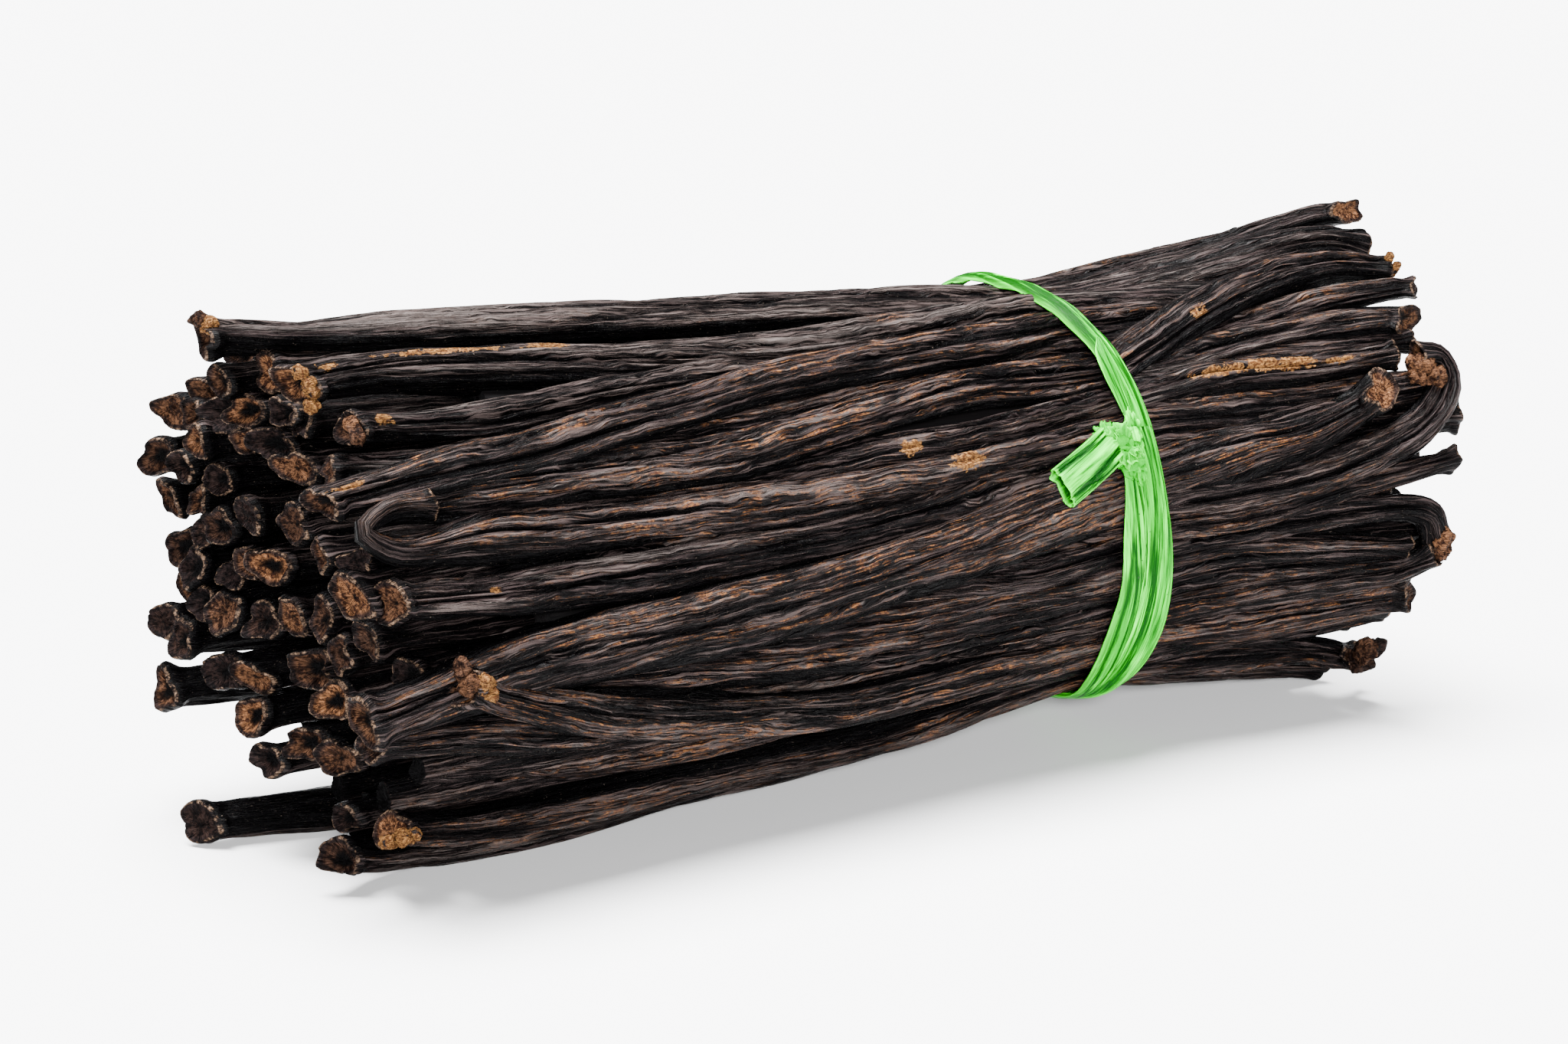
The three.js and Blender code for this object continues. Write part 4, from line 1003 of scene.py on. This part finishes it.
# The raffia. Each strand lists [angle, x of its middle, width, crown, phase of its pleats], and the
# main strand goes once round the sheaf and ends where it starts.
MAIN_STRAND = [
    [26, 33.6, 3.4, 0.7, 0], [15, 34.2, 2.9, 0.5, 0], [0, 34.7, 4, 0.3, 0], [-15, 35.3, 4.9, 0.2, 0],
    [-30, 35.9, 5.5, 0.15, 0], [-45, 36.5, 5.4, 0.15, 0], [-62, 37.2, 5, 0.2, 0], [-80, 38.2, 4.6, 0.3, 0],
    [-120, 38.2, 4.6, 0.4, 0.5], [-165, 36.2, 4.2, 0.4, 1], [-215, 33, 3.8, 0.5, 2],
    [-255, 30, 3, 0.8, 4], [-270, 29.6, 2.8, 0.9, 5.5], [-285, 30.4, 3.4, 0.9, 7],
    [-300, 31.5, 3.6, 0.9, 8.4], [-312, 32.7, 3.6, 0.8, 9.4], [-322, 33.3, 3.5, 0.7, 9.8],
    [-334, 33.6, 3.4, 0.7, 10],
]
LEFT_STRAND = [
    [25, 30.6, 1.6, 0.5, 0], [15, 30.6, 2.2, 0.35, 0], [0, 31.1, 4.2, 0.2, 0], [-15, 32, 5.2, 0.15, 0],
    [-30, 32.5, 5.8, 0.15, 0], [-45, 33.5, 5.6, 0.15, 0], [-62, 35.2, 4.6, 0.2, 0], [-80, 37.4, 4, 0.2, 0],
    [-115, 38, 3, 0.2, 0],
]
MIDDLE_FOLD = [
    [27, 32.1, 1.6, 0.1, 0], [12, 32.5, 1.8, 0.1, 0], [-10, 33.4, 2.6, 0.1, 0], [-40, 34.4, 3, 0.1, 0],
    [-62, 36, 3, 0.1, 0], [-84, 37.8, 2.6, 0.1, 0], [-100, 38.2, 2, 0, 0],
]
UPPER_FLAP = [
    [51, 32, 0.5, 0, 0], [46.5, 31.4, 2.2, 0, 0], [40, 31.4, 2.6, 0, 0], [33, 31.6, 2, 0, 0],
    [28, 31.8, 1.4, 0, 0],
]
# How far the tie's inner face lies from the axis, by angle.
TIE_RADII = [
    [-334, TIE_RADIUS], [-315, 30], [-300, 29.7], [-285, 29], [-270, 28.4], [-245, 28.4], [-200, 29.4],
    [-150, TIE_RADIUS], [-110, 29.6], [-75, 29.6], [-55, TIE_RADIUS],
]

# Colours of the raffia. The fold colour is painted shade in the pleats' valleys, and the pale colour a
# painted highlight on their crests as well as the paler edges and patches of the film.
FILM = {
    "fold": (0.0002, 0.025, 0.0005, 1),
    "green": (0.0008, 0.22, 0.0012, 1),
    "pale": (0.045, 0.74, 0.016, 1),
    "speck": (0.01, 0.03, 0.01, 1),
}
BAND_THICKNESS = 0.24
THIN_FILM = 0.1
KNOT_THICKNESS = 0.08

# The knot: x along the sheaf, angle and height above the tie. Then its lumps: x, angle, height above
# the tie, half width, half height, half depth and paleness.
KNOT = (29, 22, 1)
KNOT_LUMPS = [
    (28.6, 22.6, 0.5, 2.6, 2.6, 1.7, -0.9), (30.4, 19.4, 0.6, 1.9, 2.6, 1.4, -0.7),
    (27, 24.6, 1, 1.7, 1.9, 1.2, -0.5), (31.8, 25.2, 0.7, 1.1, 2.9, 0.9, -0.1),
    (31.6, 17.2, 0.6, 1, 2.6, 0.9, -0.3),
]
TORN_BITS = 11

# The corners of the free end in the same form: the first two are its root, the last two its open end.
TAIL_CORNERS = [(26.1, 26.9, 1.6), (29, 19.1, 1.6), (15.2, 18.7, 4.2), (17.7, 10.4, 4.2)]
TAIL_THICKNESS = 1.5


def ribbon(rows, number, lift, cells, relief, closed=False, columns=40, step=0.9):
    """A strand of pleated film laid round the sheaf: its outer face as rows of points."""
    rng = np.random.default_rng([SEED, number])
    length, at = smooth_line(rows, [math.radians(1) * TIE_RADIUS, 1, 1, 0, 0])
    places = np.linspace(0, length, int(length / step) + 1)
    angle, x, width, crown, phase = at(places).T
    down, across = crossed(places, np.linspace(-1, 1, columns))
    cell = (across * 0.5 + 0.5) * cells + phase[:, None]

    def pleats(down):
        draws = [np.random.default_rng([SEED, number, part]) for part in (1, 2, 3)]
        bent = cell + 0.3 * lattice_noise(draws[0], down / 14, across + 3, 5)
        broad = np.abs(lattice_noise(draws[1], down / 30, bent, cells)) ** 0.6
        fine = np.abs(lattice_noise(draws[2], down / 12, bent * 3, cells * 3)) ** 0.8
        return broad - 0.6 + 0.45 * (fine - 0.4)

    height = pleats(down)
    if closed:
        closing = smoothstep(length - 24, length, places)[:, None]
        height = height * (1 - closing) + pleats(down - length) * closing
    edge = np.abs(across)
    base = eased(TIE_RADII, angle) + lift
    radius = base[:, None] + crown[:, None] * (1 - edge ** 2) + relief * height - 0.2 * edge ** 6
    waves = 0.12 * (line_noise(rng, places, 7) * np.sin(math.pi * places / length) ** 0.5)[:, None] * edge
    aside = across * width[:, None] / 2
    # The pleats' valleys are painted darker and their crests paler, as painted shade and highlight, and the
    # rope over the top is painted a deeper green, a painted shade that offsets the light from above.
    top = np.clip(np.sin(np.radians(angle)), 0, 1)[:, None] ** 2
    return {"at": round_axis(x[:, None] + aside + waves, angle[:, None], radius), "edge": edge ** 8,
            "height": np.clip(0.5 + 0.8 * height - 0.35 * top, 0, 1), "along": down, "across": aside}


def film_piece(name, sheets, material, thickness):
    """Sheets of film as closed shells in one mesh. The given points are their outer faces."""
    points, faces, looks, uvs = [], [], [], []
    start = 0
    for number, sheet in enumerate(sheets):
        outer = sheet["at"]
        side = -1 if sheet.get("flip") else 1
        normals = side * unit(np.cross(np.gradient(outer, axis=0), np.gradient(outer, axis=1)) + 1e-9)
        points += [outer.reshape(-1, 3), (outer - normals * thickness).reshape(-1, 3)]
        count = outer[..., 0].size
        index = np.arange(count).reshape(outer.shape[:2]) + start
        quads = np.stack([index[:-1, :-1], index[1:, :-1], index[1:, 1:], index[:-1, 1:]], -1).reshape(-1, 4)
        parts = [quads, quads[:, ::-1] + count]
        for upper in (index[0], index[-1][::-1], index[:, 0][::-1], index[:, -1]):
            lower = upper + count
            parts.append(np.stack([upper[:-1], upper[1:], lower[1:], lower[:-1]], -1))
        sheet_faces = np.concatenate(parts)[:, ::side]
        faces.append(sheet_faces)
        flat = 0 * sheet["height"]
        look = np.stack([sheet["height"], sheet["edge"], sheet.get("pale", 0) + flat, 1 + flat], -1)
        looks += [look.reshape(-1, 4)] * 2
        place = np.stack([sheet["across"] + UV_SHEET_SPACING * number, sheet["along"]], -1).reshape(-1, 2)
        uvs.append(np.concatenate([place, place])[sheet_faces.ravel() - start])
        start += 2 * count
    faces = np.concatenate(faces)
    return mesh_piece(name, np.concatenate(points), faces.ravel(), np.full(len(faces), 4),
                      {"film_look": np.concatenate(looks)}, np.concatenate(uvs), material)


def raffia_film(name, transmission):
    n = Nodes(name)
    height, edge, pale, _ = n.channels("film_look")
    uv = n.add("ShaderNodeUVMap", 0, uv_map="skin")
    fibres = n.streaks(uv, 5.0, 0.16, 4.0, 0.6)
    patches = n.streaks(uv, 0.5, 0.09, 2.0)
    specks = n.noise(n.add("ShaderNodeTexCoord", 3), 1500.0, 1.0, 0.5)
    level = n.plus(height, n.swing(fibres, 1.4))
    # Painted shade in the pleats' valleys.
    film = n.mix(n.steps(level, 0.15, 0.6), FILM["fold"], FILM["green"])
    # Painted highlights on the pleats' crests, with paler patches of film.
    light = n.plus(level, n.swing(patches, 1.6), pale)
    film = n.mix(n.steps(light, 0.4, 1.15), film, FILM["pale"])
    film = n.mix(n.times(edge, 0.5), film, FILM["pale"])
    film = n.mix(n.steps(specks, 0.76, 0.8), film, FILM["speck"])
    return n.finish({"Base Color": film, "Roughness": n.plus(0.26, n.times(fibres, 0.2)),
                     "Normal": n.bump(fibres, 0.00018), "Specular IOR Level": 0.06,
                     "Transmission Weight": transmission, "IOR": 1.3})


def by_tie(x, angle, lift):
    return round_axis(x, angle, TIE_RADIUS + lift)


def tail_sheets():
    """The free end: a flattened, pleated loop of film. Its outer skin as one sheet round it."""
    rng = np.random.default_rng([SEED, 900])
    t, turn = crossed(np.linspace(0, 1, 40), np.linspace(0, 2 * math.pi, 97))
    corners = [by_tie(*row) for row in TAIL_CORNERS]
    squared = np.abs(np.cos(turn)) ** 0.6 * np.sign(np.cos(turn))
    share = (0.5 - squared / 2)[..., None]
    root = corners[0] * (1 - share) + corners[1] * share
    end = corners[2] * (1 - share) + corners[3] * share
    at = root * (1 - t[..., None]) + end * t[..., None]
    ahead = unit(corners[2] + corners[3] - corners[0] - corners[1])
    away = unit(np.cross(corners[1] - corners[0], ahead))
    away = away * np.sign(np.dot(away, outward(KNOT[1])))
    down, around = t * 12, turn / (2 * math.pi)
    cell = around + 0.02 * lattice_noise(rng, down / 5, around * 8, 8)
    pleat = ridged(rng, down / 16, cell, 26, 0.6)
    fine = ridged(rng, down / 7, cell, 60, 0.8)
    relief = 0.75 * (pleat - 0.6) + 0.25 * (fine - 0.4)
    bulge = TAIL_THICKNESS / 2 * (0.5 + 0.5 * t) * np.sin(turn)
    bulge = bulge + relief * np.sign(np.sin(turn)) * np.abs(np.sin(turn)) ** 0.4
    at = at + away * (bulge + 0.7 * np.sin(math.pi * t))[..., None]
    at = at + ahead * (0.35 * t * lattice_noise(rng, 0 * down, cell * 14, 14))[..., None]
    edge = smoothstep(0.95, 1, t) + smoothstep(0.88, 1, np.abs(np.cos(turn))) * 0.8
    # The pleats' valleys are painted darker and their crests paler, as painted shade and painted highlight.
    return [{"at": at, "height": np.clip(0.34 + relief / 0.6, 0, 1), "edge": np.clip(edge, 0, 1),
             "along": down, "across": turn * 3.5, "pale": 0.1, "flip": True}]


def knot_sheets():
    """The crumpled knot: lumps of film round the left edge of the band, and torn bits standing off."""
    rng = np.random.default_rng([SEED, 901])
    tall, turn = crossed(np.linspace(0.02, math.pi - 0.02, 30), np.linspace(0, 2 * math.pi, 49))
    around = turn / (2 * math.pi)
    sheets = []
    for x, angle, lift, wide, high, deep, pale in KNOT_LUMPS:
        away = outward(angle)
        crumple = ridged(rng, tall * 2.6, around, 8, 0.5) + 0.5 * ridged(rng, tall * 6, around, 17, 1)
        axes = (np.cross(away, ALONG), ALONG, away)
        at = ball(by_tie(x, angle, lift), axes, (high, wide, deep), tall, turn, 0.6 + 0.5 * crumple)
        # The crumples' hollows are painted darker and their tops paler, as painted shade and painted
        # highlight.
        sheets.append({"at": at, "height": np.clip(1.2 * crumple - 0.2, 0, 1), "edge": 0 * crumple,
                       "along": tall * 2, "across": turn * 2, "pale": pale, "flip": True})
    centre, away = by_tie(*KNOT), outward(KNOT[1])
    north = np.cross(away, ALONG)
    s, u = crossed(np.linspace(0, 1, 9), np.linspace(-1, 1, 9))
    for number in range(TORN_BITS):
        lean = rng.uniform(0, 2 * math.pi)
        heading = unit(math.cos(lean) * ALONG + math.sin(lean) * north + away * rng.uniform(0.1, 0.9))
        side = unit(np.cross(heading, away))
        up = np.cross(side, heading)
        length, width, curl = rng.uniform(1.0, 2.2), rng.uniform(1.2, 2.4), rng.uniform(-0.6, 0.6)
        rise = curl * length * s ** 2 + 0.3 * np.sin(u * 4 + number) * s
        rise += 0.2 * rng.uniform(-1, 1, (9, 9)) * s
        reach = 1.1 + length * s + 0.3 * rng.uniform(-1, 1, 9) * s
        at = (centre + away * 0.5 + heading * reach[..., None]
              + side * (u * width / 2 * (0.7 + 0.3 * s))[..., None] + up * rise[..., None])
        # The raised parts of a bit are painted paler, as painted light.
        sheets.append({"at": at, "height": np.clip(0.5 + rise * 0.6, 0, 1),
                       "edge": np.maximum(s ** 6, np.abs(u) ** 8), "along": s * length,
                       "across": u * width / 2, "pale": rng.uniform(-0.8, 0)})
    return sheets


band_film = raffia_film("raffia_film", 0.0)
clear_film = raffia_film("raffia_clear_film", 0.1)
tie_pieces = [
    film_piece("raffia_band", [
        ribbon(MIDDLE_FOLD, 910, 0.0, 5, 0.35),
        ribbon(LEFT_STRAND, 911, 0.15, 6, 0.4),
        ribbon(MAIN_STRAND, 912, 0.3, 7, 0.42, closed=True, columns=48),
    ], band_film, BAND_THICKNESS),
    film_piece("raffia_flap", [ribbon(UPPER_FLAP, 913, 1, 3, 0.3, columns=16, step=0.6)], clear_film,
               THIN_FILM),
    film_piece("raffia_knot", knot_sheets(), band_film, KNOT_THICKNESS),
    film_piece("raffia_tail", tail_sheets(), clear_film, THIN_FILM),
]
for piece in tie_pieces:
    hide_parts("raffia_tie")
    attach(piece, "root")


# Camera, floor and light.
CAMERA_AZIMUTH = -33
CAMERA_ELEVATION = 14.3
CAMERA_DISTANCE = 577
CAMERA_TARGET = (-4.5, 0, 33.5)
CAMERA_LENS = 100.2
CAMERA_SENSOR = 36
FLOOR_HALF = 3
FLOOR_COLOUR = (0.52, 0.52, 0.525, 1)
ROOM_LIGHT = 0.5

# The suns: name, direction from the bundle to it, power, and its width in the sky in degrees.
SUNS = [("overhead", (-0.1, 0.1, 1), 48, 44), ("front", (-0.6, -1, 0.36), 14.5, 12)]


def place_camera():
    camera = placed("camera", bpy.data.cameras.new("camera"))
    camera.data.lens = CAMERA_LENS
    camera.data.sensor_width = CAMERA_SENSOR
    camera.data.clip_start = 0.01
    a, e = math.radians(CAMERA_AZIMUTH), math.radians(CAMERA_ELEVATION)
    back = Vector((math.sin(a) * math.cos(e), -math.cos(a) * math.cos(e), math.sin(e)))
    target = Vector(CAMERA_TARGET) - Vector(FOOTPRINT_CENTRE)
    camera.location = (target + back * CAMERA_DISTANCE) * 0.001
    camera.rotation_euler = back.to_track_quat("Z", "Y").to_euler()
    bpy.context.scene.camera = camera


def soft_sun(name, towards, power, spread):
    """A wide soft light from one side."""
    light = bpy.data.lights.new(name, "SUN")
    light.energy = power
    light.angle = math.radians(spread)
    placed(name, light).rotation_euler = Vector(towards).to_track_quat("Z", "Y").to_euler()


def pale_floor():
    mesh = bpy.data.meshes.new("floor")
    corners = [(x * FLOOR_HALF, y * FLOOR_HALF, 0) for x, y in ((-1, -1), (1, -1), (1, 1), (-1, 1))]
    mesh.from_pydata(corners, [], [(0, 1, 2, 3)])
    mesh.materials.append(Nodes("floor").finish({"Base Color": FLOOR_COLOUR, "Roughness": 0.9,
                                                 "Specular IOR Level": 0.1}))
    floor = placed("floor", mesh)


place_camera()
pale_floor()
for sun in SUNS:
    soft_sun(*sun)
world = bpy.data.worlds.new("studio")
world.use_nodes = True
room = world.node_tree.nodes["Background"].inputs
room["Color"].default_value = (1, 1, 1, 1)
room["Strength"].default_value = ROOM_LIGHT
bpy.context.scene.world = world
